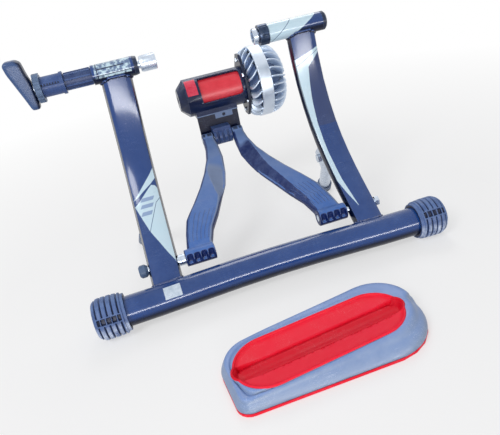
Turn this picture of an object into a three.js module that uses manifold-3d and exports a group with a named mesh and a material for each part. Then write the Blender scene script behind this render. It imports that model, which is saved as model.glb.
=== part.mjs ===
// A folding turbo trainer for the rear wheel of a bicycle, and the block that lifts its front wheel.
// A bowed floor tube with rubber caps carries two curved flat-oval uprights. Their tops hold a clamp
// that takes the hub between two cups. Two moulded arms swing from the feet of the uprights and
// carry the resistance unit, whose roller turns a fluid brake inside a finned aluminium drum.
// Millimetres, +X along the floor tube, +Y from the floor tube towards the unit, +Z up.
import * as THREE from "three";
import { mergeVertices } from "three/addons/utils/BufferGeometryUtils.js";
import Module from "manifold-3d";

const wasm = await Module();
wasm.setup();

// Running and seating gaps, shared by every piece.
const SEAT_GAP = 0.3;
const MERGE_TOLERANCE = 0.001;
const OVERRUN = 4;

// Floor tube and its rubber caps.
const TUBE_R = 25;
const TUBE_WALL = 2.5;
const TUBE_BOW = 11;
const TUBE_HALF = 255;
const TUBE_PLUG = 30;
const CAP_R = 34.8;
const CAP_LENGTH = 52;
const CAP_FLAT = 0.6;
const CAP_COLLAR_R = 31;
const CAP_COLLAR_LENGTH = 9;
const CAP_GROOVE_DEPTH = 4;
const CAP_BAR_WIDTH = 4.5;
const CAP_BAR_SPREAD = 13;

// Uprights: a flat-oval tube that leaves the floor tube low and then stands up to the axle.
const UPRIGHT_FOOT_X = 182;
const UPRIGHT_TOP_X = 164.5;
const UPRIGHT_WIDTH = 52;
const UPRIGHT_DEPTH = 28;
const UPRIGHT_CORNER = 12;
const UPRIGHT_WALL = 2.2;
const AXLE_Y = 199.5;
const AXLE_Z = 367;
const UPRIGHT_LOW_SHARES = [0.448, 0.233];
const UPRIGHT_HIGH_SHARES = [1.056, 0.376];

// Clamp tubes across the tops of the uprights.
const CLAMP_R = 16;
const CLAMP_WALL = 3;
const SPINDLE_R = 7;
const THREAD_R = 4.5;
const THREAD_TIP = 150;
const LEFT_SHANK = 74;
const SHANK_SOLID = 18;
const LEFT_TUBE_OUT = 201;
const LEFT_TUBE_IN = 132;
const LEFT_BUSH_LENGTH = 7;
const LEFT_CUP_FACE = 94;
const LEFT_CUP_LENGTH = 27;
const RIBBED_LENGTH = 45;
const RIBBED_R = 13.2;
const RIB_HEIGHT = 1.3;
const SCALE_LENGTH = 36;
const SCALE_R = 16.6;
const SCALE_STEP_R = 18.2;
const SCALE_STEP_LENGTH = 5;
const PRESET_LENGTH = 10;
const PRESET_R = 23.5;
const PRESET_SCALLOP_R = 4.2;
const HANDLE_GAP = 2;
const HANDLE_RISE = 50;
const HANDLE_DROP = 31;
const HANDLE_HEAD = 22;
const HANDLE_LEAN = 15;
const HANDLE_DEPTH = 25;
const HANDLE_EDGE = 4;
const CUP_R = 13.5;
const CUP_BORE_R = 9.5;
const CUP_BORE_DEPTH = 12;
const CUP_SLOT = 6;
const RIGHT_CUP_FACE = 78;
const RIGHT_CUP_LENGTH = 10.5;
const RIGHT_BORE_DEPTH = 7;
const RIGHT_SHANK = 46;
const LOCK_LENGTH = 16.5;
const LOCK_R = 17.4;
const LOCK_FLAT_R = 3.2;
const RIGHT_TUBE_OUT = 205;
const END_CAP_LENGTH = 8;

// Arms and their pivots at the feet of the uprights.
const PIVOT_SHARE = 0.16;
const PIVOT_R = 6;
const PIVOT_KNOB_R = 11;
const PIVOT_KNOB_LENGTH = 15;
const PIVOT_NUT_R = 9;
const PIVOT_NUT_LENGTH = 7;
const ARM_CENTRE_X = 4;
const BARREL_R = 14.5;
const BARREL_IN = 94;
const BARREL_OUT = 146;
const BARREL_SLOT_DEPTH = 6;
const BARREL_RIB = 3.2;
const SPACER_R = 9.5;
const HINGE_Y = 292;
const HINGE_Z = 182;
const HINGE_PIN_R = 4;
const EYE_R = 11.5;
const EYE_IN = 19.5;
const EYE_OUT = 42;
const ARM_DEPTH = 19;
const ARM_CORNER = 5;
const ARM_ARCH = 7;

// Resistance unit, measured from the roller's axis.
const UNIT_Y = 330;
const UNIT_Z = 262;
const COMB_R = 15.5;
const COMB_HALF = 18;
const COMB_SLOT_DEPTH = 7;
const BRACKET_WALL = 3;
const BRACKET_LEFT = 40;
const BRACKET_RIGHT = 44;
const BRACKET_DROP = 11;
const BRACKET_SHELF = 44;
const HOUSING_R = 37;
const HOUSING_LEFT = 62;
const HOUSING_RIGHT = 70.5;
const HOUSING_CHAMFER = 15;
const HOUSING_WALL = 3.4;
const HOUSING_END_HOLE_R = 7;
const HOUSING_FOOT = 26;
const LUG_LEFT = 4;
const LUG_WIDTH = 36;
const LUG_DROP = 10;
const LUG_WALL = 3;
const LUG_HOLE_R = 3.5;
const WINDOW_LEFT = 19;
const WINDOW_RIGHT = 66;
const WINDOW_TURN = 152;
const WINDOW_HALF_ANGLE = 44;
const ROLLER_GAP = 1.6;
const ROLLER_SKIN = 8;
const ROLLER_END_GAP = 1;
const SHAFT_R = 6;
const PLATE_WALL = 5;
const PLATE_RISE = 23;
const PLATE_SIDE = 6;
const SCREW_R = 4;
const SCREW_HEAD = 3;
const DRUM_RING_R = 70;
const DRUM_RING_WALL = 5;
const DRUM_RING_LEFT = 94;
const DRUM_RING_LENGTH = 24;
const DRUM_HUB_R = 46;
const DRUM_FIN = 3;
const DRUM_LEFT_FINS = 16;
const DRUM_DOME_LENGTH = 38;
const DRUM_DOME_FINS = 20;
const DRUM_CORE_SHARE = 0.8;

// Folding legs behind the uprights.
const LEG_SHARE = 0.5;
const LEG_R = 12;
const LEG_WALL = 2;
const LEG_EYE_R = 12.5;
const LEG_EYE_HALF = 16;
const LEG_STANDOFF = 19;
const LEG_FOOT_X = 205;
const LEG_FOOT_Y = 302;
const LEG_TIP_R = 15.5;
const LEG_TIP_LENGTH = 34;
const LEG_TIP_FLAT = 3;
const LEG_CHEEK = 3;
const LEG_BRACKET_LENGTH = 34;
const LEG_BOLT_R = 5;
const LEG_BOLT_HEAD_R = 8.5;
const LEG_BOLT_HEAD = 4.5;

// Front-wheel block. Its top slopes from the tall right end down to the left one.
const BLOCK_X = 4;
const BLOCK_Y = -198;
const BLOCK_TURN = 4;
const BLOCK_LENGTH = 297;
const BLOCK_LEFT_DEPTH = 127;
const BLOCK_RIGHT_DEPTH = 149;
const BLOCK_LEFT_HEIGHT = 25.5;
const BLOCK_RIGHT_HEIGHT = 40.5;
const BLOCK_SILL = 6;
const BLOCK_CREASE = 3;
const BLOCK_LEAN = 12;
const BLOCK_EDGE = 1.5;
const BLOCK_CORNERS = [66, 47, 20, 72];
const BLOCK_WALL = 3;
const TROUGH_ENDS = 48;
const TROUGH_LEFT_SIDES = 31;
const TROUGH_RIGHT_SIDES = 58;
const TROUGH_CORNER = 48;
const TROUGH_OFF_LENGTH = 9.5;
const TROUGH_OFF_DEPTH = 7.5;
const TROUGH_SINK = 5;
const TROUGH_WALL = 3;
const TROUGH_LIP = 2;
const TRACK_REACH = 4;
const TRACK_WIDTH = 33;
const TRACK_SINK = 15;

// Places worked out from the sizes above.
const TUBE_Z = CAP_R - CAP_FLAT;
const ROLLER_R = HOUSING_R - HOUSING_WALL - ROLLER_GAP;
const ROLLER_CORE_R = ROLLER_R - ROLLER_SKIN;
const PLATE_TALL = HOUSING_R + PLATE_RISE;
const PLATE_WIDE = HOUSING_R + PLATE_SIDE;
const TROUGH_LENGTH = BLOCK_LENGTH - TROUGH_ENDS;
const TROUGH_LEFT_DEPTH = BLOCK_LEFT_DEPTH - TROUGH_LEFT_SIDES;
const TROUGH_RIGHT_DEPTH = BLOCK_RIGHT_DEPTH - TROUGH_RIGHT_SIDES;
const TRACK_LENGTH = TROUGH_LENGTH + 2 * TRACK_REACH;
const LEFT_SIDE = -1;
const RIGHT_SIDE = 1;
const rad = THREE.MathUtils.degToRad;
const preset = { in: -(LEFT_TUBE_OUT + RIBBED_LENGTH + SCALE_LENGTH + 3 * SEAT_GAP) };
preset.out = preset.in - PRESET_LENGTH;
const handleIn = preset.out - HANDLE_GAP;
const handleFar = handleIn - HANDLE_HEAD - HANDLE_LEAN * (HANDLE_RISE / (HANDLE_RISE + HANDLE_DROP));

// Solids.

// A three.js geometry as a closed solid with its faces turned outwards.
function solid(geometry) {
  const plain = new THREE.BufferGeometry();
  const source = geometry.index ? geometry.toNonIndexed() : geometry;
  plain.setAttribute("position", source.getAttribute("position"));
  const merged = mergeVertices(plain, MERGE_TOLERANCE);
  const vertProperties = new Float32Array(merged.attributes.position.array);
  const triVerts = new Uint32Array(merged.index.array);
  const corners = [new THREE.Vector3(), new THREE.Vector3(), new THREE.Vector3()];
  let volume = 0;
  for (let i = 0; i < triVerts.length; i += 3) {
    corners.forEach((corner, k) => corner.fromArray(vertProperties, triVerts[i + k] * 3));
    volume += corners[0].dot(corners[1].clone().cross(corners[2]));
  }
  if (volume < 0) {
    for (let i = 0; i < triVerts.length; i += 3) {
      [triVerts[i + 1], triVerts[i + 2]] = [triVerts[i + 2], triVerts[i + 1]];
    }
  }
  return new wasm.Manifold(new wasm.Mesh({ numProp: 3, vertProperties, triVerts }));
}

const join = (...pieces) => pieces.reduce((all, piece) => all.add(piece));
const cut = (body, ...tools) => tools.reduce((left, tool) => left.subtract(tool), body);

function material(colour, roughness, metalness) {
  return new THREE.MeshStandardMaterial({ color: colour, roughness, metalness });
}

const looks = {
  frame: material(0x1a2748, 0.28, 0.45),
  rubber: material(0x23262d, 0.8, 0),
  blackPlastic: material(0x191c22, 0.5, 0),
  greyPlastic: material(0x4f5d78, 0.55, 0),
  sleeve: material(0x3c4a66, 0.5, 0.1),
  steel: material(0xc3c8cf, 0.3, 0.9),
  aluminium: material(0xb9bec6, 0.42, 0.8),
  blackSteel: material(0x14161b, 0.4, 0.5),
  red: material(0xe3293c, 0.4, 0),
  blockGrey: material(0x6d7c9c, 0.45, 0),
};

const trainer = new THREE.Group();

function place(name, body, look) {
  const made = body.getMesh();
  const count = made.vertProperties.length / made.numProp;
  const positions = new Float32Array(count * 3);
  for (let i = 0; i < count; i += 1) {
    positions.set(made.vertProperties.subarray(i * made.numProp, i * made.numProp + 3), i * 3);
  }
  const geometry = new THREE.BufferGeometry();
  geometry.setAttribute("position", new THREE.BufferAttribute(positions, 3));
  geometry.setIndex(new THREE.BufferAttribute(new Uint32Array(made.triVerts), 1));
  geometry.computeVertexNormals();
  const mesh = new THREE.Mesh(geometry, look);
  mesh.name = name;
  trainer.add(mesh);
  return mesh;
}

// A box between two corners.
function block(low, high) {
  const size = new THREE.Vector3().subVectors(high, low);
  const middle = new THREE.Vector3().addVectors(low, high).divideScalar(2);
  return solid(new THREE.BoxGeometry(size.x, size.y, size.z).translate(middle.x, middle.y, middle.z));
}

const at = (x, y, z) => new THREE.Vector3(x, y, z);

// A round bar along X from one place to another.
function bar(radius, from, to, y, z, sides = 20) {
  const geometry = new THREE.CylinderGeometry(radius, radius, Math.abs(to - from), sides);
  return solid(geometry.rotateZ(Math.PI / 2).translate((from + to) / 2, y, z));
}

// A profile of [radius, x] points turned about an axis along X.
function turned(profile, y, z, sides = 24) {
  const points = profile.map(([radius, x]) => new THREE.Vector2(radius, x));
  const geometry = new THREE.LatheGeometry(points, sides);
  return solid(geometry.rotateZ(-Math.PI / 2).translate(0, y, z));
}

// A skin through rings of points, closed by a flat face at each end.
function loft(rings) {
  const positions = [];
  const triangle = (a, b, c) => positions.push(...a.toArray(), ...b.toArray(), ...c.toArray());
  const sides = rings[0].length;
  rings.slice(1).forEach((ring, i) => {
    const before = rings[i];
    for (let k = 0; k < sides; k += 1) {
      const next = (k + 1) % sides;
      triangle(before[k], before[next], ring[next]);
      triangle(before[k], ring[next], ring[k]);
    }
  });
  for (let k = 1; k < sides - 1; k += 1) {
    triangle(rings[0][0], rings[0][k + 1], rings[0][k]);
    const last = rings[rings.length - 1];
    triangle(last[0], last[k], last[k + 1]);
  }
  const geometry = new THREE.BufferGeometry();
  geometry.setAttribute("position", new THREE.Float32BufferAttribute(positions, 3));
  return solid(geometry);
}

// A rounded rectangle as [across, along] pairs, the corners in a given number of steps.
function roundedRectangle(width, height, corner, steps) {
  const radius = Math.min(corner, width / 2, height / 2);
  const outline = [];
  [[1, 1], [-1, 1], [-1, -1], [1, -1]].forEach(([sx, sy], quarter) => {
    for (let i = 0; i <= steps; i += 1) {
      const angle = (quarter + i / steps) * (Math.PI / 2);
      outline.push([
        sx * (width / 2 - radius) + radius * Math.cos(angle),
        sy * (height / 2 - radius) + radius * Math.sin(angle),
      ]);
    }
  });
  return outline;
}

// A section carried along a path: frames gives centre, across and up for each station.
function sweep(outlineAt, frames) {
  return loft(frames.map(({ centre, across, up }, i) =>
    outlineAt(i).map(([a, u]) =>
      centre.clone().addScaledVector(across, a).addScaledVector(up, u))));
}

const circle = (radius, sides) =>
  Array.from({ length: sides }, (_, k) => [
    radius * Math.cos((k / sides) * Math.PI * 2),
    radius * Math.sin((k / sides) * Math.PI * 2),
  ]);

// Floor tube.

// The tube bows away from the rider's side, with straight ends inside the caps.
const bowShares = [0, 0.26, 0.52, 0.77, 1];
const tubeEnd = TUBE_HALF + TUBE_PLUG;
const tubeY = (x) => TUBE_BOW * (1 - Math.min(Math.abs(x) / TUBE_HALF, 1) ** 2) ** 2;
const tubeStations = [
  -tubeEnd,
  ...bowShares.slice(1).reverse().map((share) => -share * TUBE_HALF),
  ...bowShares.map((share) => share * TUBE_HALF),
  tubeEnd,
];
const tubeFrames = tubeStations.map((x) => ({
  centre: at(x, tubeY(x), TUBE_Z),
  across: at(0, 1, 0),
  up: at(0, 0, 1),
}));
const tubeSides = 20;
const tubeSolid = (radius) => sweep(() => circle(radius, tubeSides), tubeFrames);
const stretched = tubeFrames.map(({ centre, across, up }) => ({
  centre: centre.clone().setX(centre.x * (1 + OVERRUN / tubeEnd)),
  across,
  up,
}));
const tubeBore = sweep(() => circle(TUBE_R - TUBE_WALL, tubeSides), stretched);
place("base_tube", cut(tubeSolid(TUBE_R), tubeBore), looks.frame);

// Rubber caps: a collar, then ribs with a row of square pockets between two bars.
const capGroovePitchShare = 0.15;
const capGrooveFirstShare = 0.24;
const capGrooveWidthShare = 0.075;
const capGrooves = 5;
const capBarSinkShare = 0.3;
function rubberCap(side, pocketAngle) {
  const inner = TUBE_HALF + SEAT_GAP;
  const groove = CAP_R - CAP_GROOVE_DEPTH;
  const profile = [
    [0, 0],
    [CAP_COLLAR_R, 0],
    [CAP_COLLAR_R, CAP_COLLAR_LENGTH],
    [CAP_R, CAP_COLLAR_LENGTH + CAP_GROOVE_DEPTH / 2],
  ];
  for (let k = 0; k < capGrooves; k += 1) {
    const start = CAP_LENGTH * (capGrooveFirstShare + k * capGroovePitchShare);
    profile.push([CAP_R, start], [groove, start]);
    profile.push([groove, start + CAP_LENGTH * capGrooveWidthShare]);
    profile.push([CAP_R, start + CAP_LENGTH * capGrooveWidthShare]);
  }
  profile.push([CAP_R, CAP_LENGTH - CAP_GROOVE_DEPTH]);
  profile.push([CAP_R - CAP_GROOVE_DEPTH, CAP_LENGTH], [0, CAP_LENGTH]);
  const placed = profile.map(([radius, x]) => [radius, side * (inner + x)]);
  const bars = [-1, 1].map((hand) => {
    const turn = rad(pocketAngle) + hand * Math.atan2(CAP_BAR_SPREAD / 2, CAP_R);
    const geometry = new THREE.BoxGeometry(
      CAP_LENGTH * capGroovePitchShare * capGrooves,
      CAP_GROOVE_DEPTH * 2,
      CAP_BAR_WIDTH,
    );
    const along = CAP_LENGTH * (capGrooveFirstShare + (capGroovePitchShare * capGrooves) / 2);
    const barRadius = CAP_R - CAP_GROOVE_DEPTH - capBarSinkShare * CAP_GROOVE_DEPTH;
    geometry.translate(side * (inner + along), barRadius, 0);
    return solid(geometry.rotateX(turn).translate(0, 0, TUBE_Z));
  });
  const socket = bar(
    TUBE_R + SEAT_GAP,
    side * (inner - OVERRUN),
    side * (tubeEnd + SEAT_GAP),
    0,
    TUBE_Z,
    tubeSides,
  );
  const floor = block(
    at(-tubeEnd - CAP_LENGTH, -CAP_R * 2, -CAP_R),
    at(tubeEnd + CAP_LENGTH, CAP_R * 2, 0),
  );
  return cut(join(turned(placed, 0, TUBE_Z, 20), ...bars), socket, floor);
}
place("foot_left", rubberCap(LEFT_SIDE, 150), looks.rubber);
place("foot_right", rubberCap(RIGHT_SIDE, 110), looks.rubber);

// Uprights.
// One curve serves both: its ends lie on the floor tube and on the clamp tube.
const uprightControl = ([outShare, upShare]) =>
  at(0, AXLE_Y * outShare, TUBE_Z + (AXLE_Z - TUBE_Z) * upShare);
const upright = new THREE.CubicBezierCurve3(
  at(0, tubeY(UPRIGHT_FOOT_X), TUBE_Z),
  uprightControl(UPRIGHT_LOW_SHARES),
  uprightControl(UPRIGHT_HIGH_SHARES),
  at(0, AXLE_Y, AXLE_Z),
);
const uprightX = (z) =>
  UPRIGHT_FOOT_X + (UPRIGHT_TOP_X - UPRIGHT_FOOT_X) * ((z - TUBE_Z) / (AXLE_Z - TUBE_Z));
function uprightFrames(side, steps, from = 0, to = 1) {
  return Array.from({ length: steps + 1 }, (_, k) => {
    const share = from + ((to - from) * k) / steps;
    const centre = upright.getPoint(share);
    const along = upright.getTangent(share);
    centre.setX(side * uprightX(centre.z));
    return { centre, across: at(side, 0, 0), up: at(0, -along.z, along.y).multiplyScalar(side) };
  });
}
const uprightSteps = 11;
function uprightSolid(side, grow) {
  const width = UPRIGHT_WIDTH + 2 * grow;
  const depth = UPRIGHT_DEPTH + 2 * grow;
  const outline = roundedRectangle(width, depth, UPRIGHT_CORNER + grow, 2);
  return sweep(() => outline, uprightFrames(side, uprightSteps));
}
const pivotPoint = upright.getPoint(PIVOT_SHARE);
function uprightTube(side) {
  const shell = cut(uprightSolid(side, 0), uprightSolid(side, -UPRIGHT_WALL));
  const saddle = bar(CLAMP_R + SEAT_GAP, -UPRIGHT_FOOT_X * 2, UPRIGHT_FOOT_X * 2, AXLE_Y, AXLE_Z, 24);
  const pivotHole = bar(
    PIVOT_R + SEAT_GAP,
    -UPRIGHT_FOOT_X * 2,
    UPRIGHT_FOOT_X * 2,
    pivotPoint.y,
    pivotPoint.z,
    16,
  );
  const above = block(
    at(-UPRIGHT_FOOT_X * 2, -CAP_R, AXLE_Z),
    at(UPRIGHT_FOOT_X * 2, AXLE_Y * 2, AXLE_Z + UPRIGHT_WIDTH),
  );
  return cut(shell, tubeSolid(TUBE_R + SEAT_GAP), saddle, pivotHole, above);
}
place("upright_left", uprightTube(LEFT_SIDE), looks.frame);
place("upright_right", uprightTube(RIGHT_SIDE), looks.frame);

// Left clamp tube, with a plastic bush in its inner end.
const axleBar = (radius, from, to, sides) => bar(radius, from, to, AXLE_Y, AXLE_Z, sides);
const bored = (radius, bore, from, to, sides = 24) =>
  cut(axleBar(radius, from, to, sides), axleBar(bore, from - OVERRUN, to + OVERRUN, 20));
place(
  "clamp_tube_left",
  bored(CLAMP_R, CLAMP_R - CLAMP_WALL, -LEFT_TUBE_OUT, -LEFT_TUBE_IN),
  looks.frame,
);
const bushShoulder = CLAMP_R - CLAMP_WALL / 2;
place(
  "clamp_bush_left",
  cut(
    turned(
      [
        [0, -LEFT_TUBE_IN - LEFT_BUSH_LENGTH],
        [CLAMP_R - CLAMP_WALL - SEAT_GAP, -LEFT_TUBE_IN - LEFT_BUSH_LENGTH],
        [CLAMP_R - CLAMP_WALL - SEAT_GAP, -LEFT_TUBE_IN + SEAT_GAP],
        [CLAMP_R, -LEFT_TUBE_IN + SEAT_GAP],
        [bushShoulder, -LEFT_TUBE_IN + LEFT_BUSH_LENGTH],
        [0, -LEFT_TUBE_IN + LEFT_BUSH_LENGTH],
      ],
      AXLE_Y,
      AXLE_Z,
    ),
    axleBar(SPINDLE_R + SEAT_GAP, -LEFT_TUBE_OUT, 0, 20),
  ),
  looks.blackPlastic,
);

// Ribbed outer sleeve of the clamp, pressed on the end of the tube.
const ribShares = Array.from({ length: 9 }, (_, k) => k / 9);
const ribbedOut = -LEFT_TUBE_OUT - SEAT_GAP - RIBBED_LENGTH;
const ribs = ribShares.map((share) => {
  const rib = new THREE.BoxGeometry(RIBBED_LENGTH - 2 * RIB_HEIGHT, RIB_HEIGHT * 2, RIB_HEIGHT * 2);
  rib.translate(ribbedOut + RIBBED_LENGTH / 2, RIBBED_R, 0).rotateX(share * Math.PI * 2);
  return solid(rib.translate(0, AXLE_Y, AXLE_Z));
});
place(
  "ribbed_sleeve",
  cut(
    join(axleBar(RIBBED_R, ribbedOut, ribbedOut + RIBBED_LENGTH, 24), ...ribs),
    axleBar(SPINDLE_R + SEAT_GAP, ribbedOut - OVERRUN, -LEFT_TUBE_OUT + OVERRUN, 20),
  ),
  looks.sleeve,
);

// Graduated sleeve with a stepped end, and the preset ring that screws against it.
const scaleIn = ribbedOut - SEAT_GAP;
const scaleOut = scaleIn - SCALE_LENGTH;
place(
  "scale_sleeve",
  cut(
    join(
      axleBar(SCALE_R, scaleOut, scaleIn, 20),
      axleBar(SCALE_STEP_R, scaleIn - SCALE_STEP_LENGTH, scaleIn, 20),
    ),
    axleBar(SPINDLE_R + SEAT_GAP, scaleOut - OVERRUN, scaleIn + OVERRUN, 20),
  ),
  looks.sleeve,
);
const scallops = Array.from({ length: 12 }, (_, k) => {
  const angle = (k / 12) * Math.PI * 2;
  return bar(
    PRESET_SCALLOP_R,
    preset.out - OVERRUN,
    preset.in + OVERRUN,
    AXLE_Y + (PRESET_R + PRESET_SCALLOP_R / 2) * Math.cos(angle),
    AXLE_Z + (PRESET_R + PRESET_SCALLOP_R / 2) * Math.sin(angle),
    8,
  );
});
place(
  "preset_ring",
  cut(bored(PRESET_R, SPINDLE_R + SEAT_GAP, preset.out, preset.in), ...scallops),
  looks.sleeve,
);

// Clamp handle: a thick two-ended paddle across the spindle, leaning outwards at its head.
// Each corner is given as shares of the lean, the head, the rise and the drop.
const handleShares = [
  [0, 0, 0, 1],
  [0, 0, 0.12, 0],
  [0.3, 0, 0.55, 0],
  [0.45, 0, 0.9, 0],
  [0.9, 0, 1, 0],
  [1, 0.72, 1, 0],
  [0.95, 0.95, 0.9, 0],
  [0.8, 0.95, 0.62, 0],
  [0.2, 0.86, 0, 0.1],
  [0, 0.62, 0, 1],
];
const handleShape = new THREE.Shape(
  handleShares.map(([lean, head, rise, drop]) =>
    new THREE.Vector2(-HANDLE_LEAN * lean - HANDLE_HEAD * head, HANDLE_RISE * rise - HANDLE_DROP * drop)),
);
const handleBlank = new THREE.ExtrudeGeometry(handleShape, {
  depth: HANDLE_DEPTH - 2 * HANDLE_EDGE,
  bevelThickness: HANDLE_EDGE,
  bevelSize: HANDLE_EDGE,
  bevelOffset: -HANDLE_EDGE,
  bevelSegments: 2,
});
handleBlank.translate(0, 0, HANDLE_EDGE - HANDLE_DEPTH / 2).rotateX(Math.PI / 2);
handleBlank.translate(handleIn, AXLE_Y, AXLE_Z);
place(
  "clamp_handle",
  cut(solid(handleBlank), axleBar(SPINDLE_R + SEAT_GAP, handleIn - HANDLE_HEAD / 2, handleIn + OVERRUN, 20)),
  looks.greyPlastic,
);

// Spindle: it turns with the handle, and its thinner screw runs inside the shank of the left cup.
place(
  "spindle",
  join(
    axleBar(SPINDLE_R, handleIn - HANDLE_HEAD / 2 + SEAT_GAP, -LEFT_TUBE_OUT, 20),
    axleBar(THREAD_R, -LEFT_TUBE_OUT - OVERRUN, -THREAD_TIP, 16),
  ),
  looks.steel,
);

// Hub cups: each has a slot in its rim that clears the lever of the axle.
function hubCup(side, face, length, depth) {
  const mouth = side * face;
  const back = side * (face + length);
  const slot = block(
    at(mouth - CUP_SLOT, AXLE_Y - CUP_SLOT / 2, AXLE_Z),
    at(mouth + CUP_SLOT, AXLE_Y + CUP_SLOT / 2, AXLE_Z + CUP_R + OVERRUN),
  );
  const lead = CUP_R - CUP_BORE_R;
  const body = turned(
    [
      [0, mouth],
      [CUP_R - lead / 4, mouth],
      [CUP_R, mouth + side * (lead / 4)],
      [CUP_R, back - side * lead],
      [CUP_R - lead / 3, back],
      [0, back],
    ],
    AXLE_Y,
    AXLE_Z,
  );
  return cut(body, axleBar(CUP_BORE_R, mouth - side * OVERRUN, mouth + side * depth, 24), slot);
}
const leftCupBack = LEFT_CUP_FACE + LEFT_CUP_LENGTH;
place(
  "cup_left",
  cut(
    join(
      hubCup(LEFT_SIDE, LEFT_CUP_FACE, LEFT_CUP_LENGTH, CUP_BORE_DEPTH),
      axleBar(SPINDLE_R, -leftCupBack - LEFT_SHANK, -LEFT_CUP_FACE - CUP_BORE_DEPTH - SEAT_GAP, 20),
    ),
    axleBar(THREAD_R + SEAT_GAP, -leftCupBack - LEFT_SHANK - OVERRUN, -leftCupBack - SHANK_SOLID, 16),
  ),
  looks.steel,
);

// Right clamp tube with its end cap, lock ring and adjustable cup.
const rightTubeIn = RIGHT_CUP_FACE + RIGHT_CUP_LENGTH + LOCK_LENGTH + 2 * SEAT_GAP;
place("clamp_tube_right", bored(CLAMP_R, CLAMP_R - CLAMP_WALL, rightTubeIn, RIGHT_TUBE_OUT), looks.frame);
place(
  "end_cap_right",
  turned(
    [
      [0, RIGHT_TUBE_OUT - END_CAP_LENGTH],
      [CLAMP_R - CLAMP_WALL - SEAT_GAP, RIGHT_TUBE_OUT - END_CAP_LENGTH],
      [CLAMP_R - CLAMP_WALL - SEAT_GAP, RIGHT_TUBE_OUT + SEAT_GAP],
      [CLAMP_R, RIGHT_TUBE_OUT + SEAT_GAP],
      [CLAMP_R, RIGHT_TUBE_OUT + END_CAP_LENGTH - CLAMP_WALL],
      [CLAMP_R - CLAMP_WALL, RIGHT_TUBE_OUT + END_CAP_LENGTH],
      [0, RIGHT_TUBE_OUT + END_CAP_LENGTH],
    ],
    AXLE_Y,
    AXLE_Z,
  ),
  looks.blackPlastic,
);
const lockIn = RIGHT_CUP_FACE + RIGHT_CUP_LENGTH + SEAT_GAP;
const lockFlats = Array.from({ length: 6 }, (_, k) => {
  const angle = (k / 6) * Math.PI * 2;
  return bar(
    LOCK_FLAT_R,
    lockIn + LOCK_FLAT_R,
    rightTubeIn + OVERRUN,
    AXLE_Y + (LOCK_R + LOCK_FLAT_R / 2) * Math.cos(angle),
    AXLE_Z + (LOCK_R + LOCK_FLAT_R / 2) * Math.sin(angle),
    8,
  );
});
place(
  "lock_ring_right",
  cut(bored(LOCK_R, SPINDLE_R + SEAT_GAP, lockIn, lockIn + LOCK_LENGTH), ...lockFlats),
  looks.blackPlastic,
);
place(
  "cup_right",
  join(
    hubCup(RIGHT_SIDE, RIGHT_CUP_FACE, RIGHT_CUP_LENGTH, RIGHT_BORE_DEPTH),
    axleBar(
      SPINDLE_R,
      RIGHT_CUP_FACE + RIGHT_BORE_DEPTH + SEAT_GAP,
      RIGHT_CUP_FACE + RIGHT_CUP_LENGTH + RIGHT_SHANK,
    ),
  ),
  looks.steel,
);

// Pivots at the feet of the uprights.
const pivotBar = (radius, from, to, sides) => bar(radius, from, to, pivotPoint.y, pivotPoint.z, sides);
const pivotSideX = uprightX(pivotPoint.z);
const uprightOutside = pivotSideX + UPRIGHT_WIDTH / 2;
const uprightInside = pivotSideX - UPRIGHT_WIDTH / 2;
place(
  "pivot_pin_left",
  pivotBar(PIVOT_R, -uprightOutside - PIVOT_KNOB_LENGTH / 2, ARM_CENTRE_X - BARREL_IN - SEAT_GAP),
  looks.steel,
);
place(
  "pivot_pin_right",
  pivotBar(PIVOT_R, ARM_CENTRE_X + BARREL_IN + SEAT_GAP, uprightOutside + PIVOT_NUT_LENGTH + SEAT_GAP),
  looks.steel,
);
const knobIn = -uprightOutside - SEAT_GAP;
const knobShares = [[0.75, 1], [1, 0.8], [1, 0.3], [0.7, 0]];
place(
  "pivot_knob",
  cut(
    turned(
      [
        [0, knobIn - PIVOT_KNOB_LENGTH],
        ...knobShares.map(([r, x]) => [PIVOT_KNOB_R * r, knobIn - PIVOT_KNOB_LENGTH * x]),
        [0, knobIn],
      ],
      pivotPoint.y,
      pivotPoint.z,
      12,
    ),
    pivotBar(PIVOT_R + SEAT_GAP, knobIn - PIVOT_KNOB_LENGTH / 2 - SEAT_GAP, knobIn + OVERRUN),
  ),
  looks.blackPlastic,
);
const nutIn = uprightOutside + SEAT_GAP;
place(
  "pivot_nut",
  cut(
    pivotBar(PIVOT_NUT_R, nutIn, nutIn + PIVOT_NUT_LENGTH, 6),
    pivotBar(PIVOT_R + SEAT_GAP, nutIn - OVERRUN, nutIn + PIVOT_NUT_LENGTH + OVERRUN),
  ),
  looks.steel,
);
place(
  "pivot_spacer",
  cut(
    pivotBar(SPACER_R, SEAT_GAP - uprightInside, ARM_CENTRE_X - BARREL_OUT - SEAT_GAP),
    pivotBar(PIVOT_R + SEAT_GAP, -uprightOutside, 0),
  ),
  looks.steel,
);

// Arms: S-shaped mouldings, from a slotted barrel on the pivot to an eye at the unit's hinge.
const chord = new THREE.Vector2(HINGE_Y - pivotPoint.y, HINGE_Z - pivotPoint.z);
const reach = chord.length();
const chordDirection = chord.clone().normalize();
const armShares = [
  // share of the reach, inner and outer edge as shares of the barrel's outer end, arch share
  { along: 0.0, inner: 0.66, outer: 0.965, arch: 0 },
  { along: 0.07, inner: 0.635, outer: 0.95, arch: 0.1 },
  { along: 0.16, inner: 0.575, outer: 0.915, arch: 0.35 },
  { along: 0.26, inner: 0.46, outer: 0.86, arch: 0.7 },
  { along: 0.37, inner: 0.355, outer: 0.73, arch: 1 },
  { along: 0.5, inner: 0.24, outer: 0.575, arch: 1 },
  { along: 0.63, inner: 0.17, outer: 0.45, arch: 0.75 },
  { along: 0.76, inner: 0.125, outer: 0.355, arch: 0.4 },
  { along: 0.88, inner: 0.12, outer: 0.305, arch: 0.12 },
  { along: 1.0, inner: 0.135, outer: 0.287, arch: 0 },
];
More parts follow.
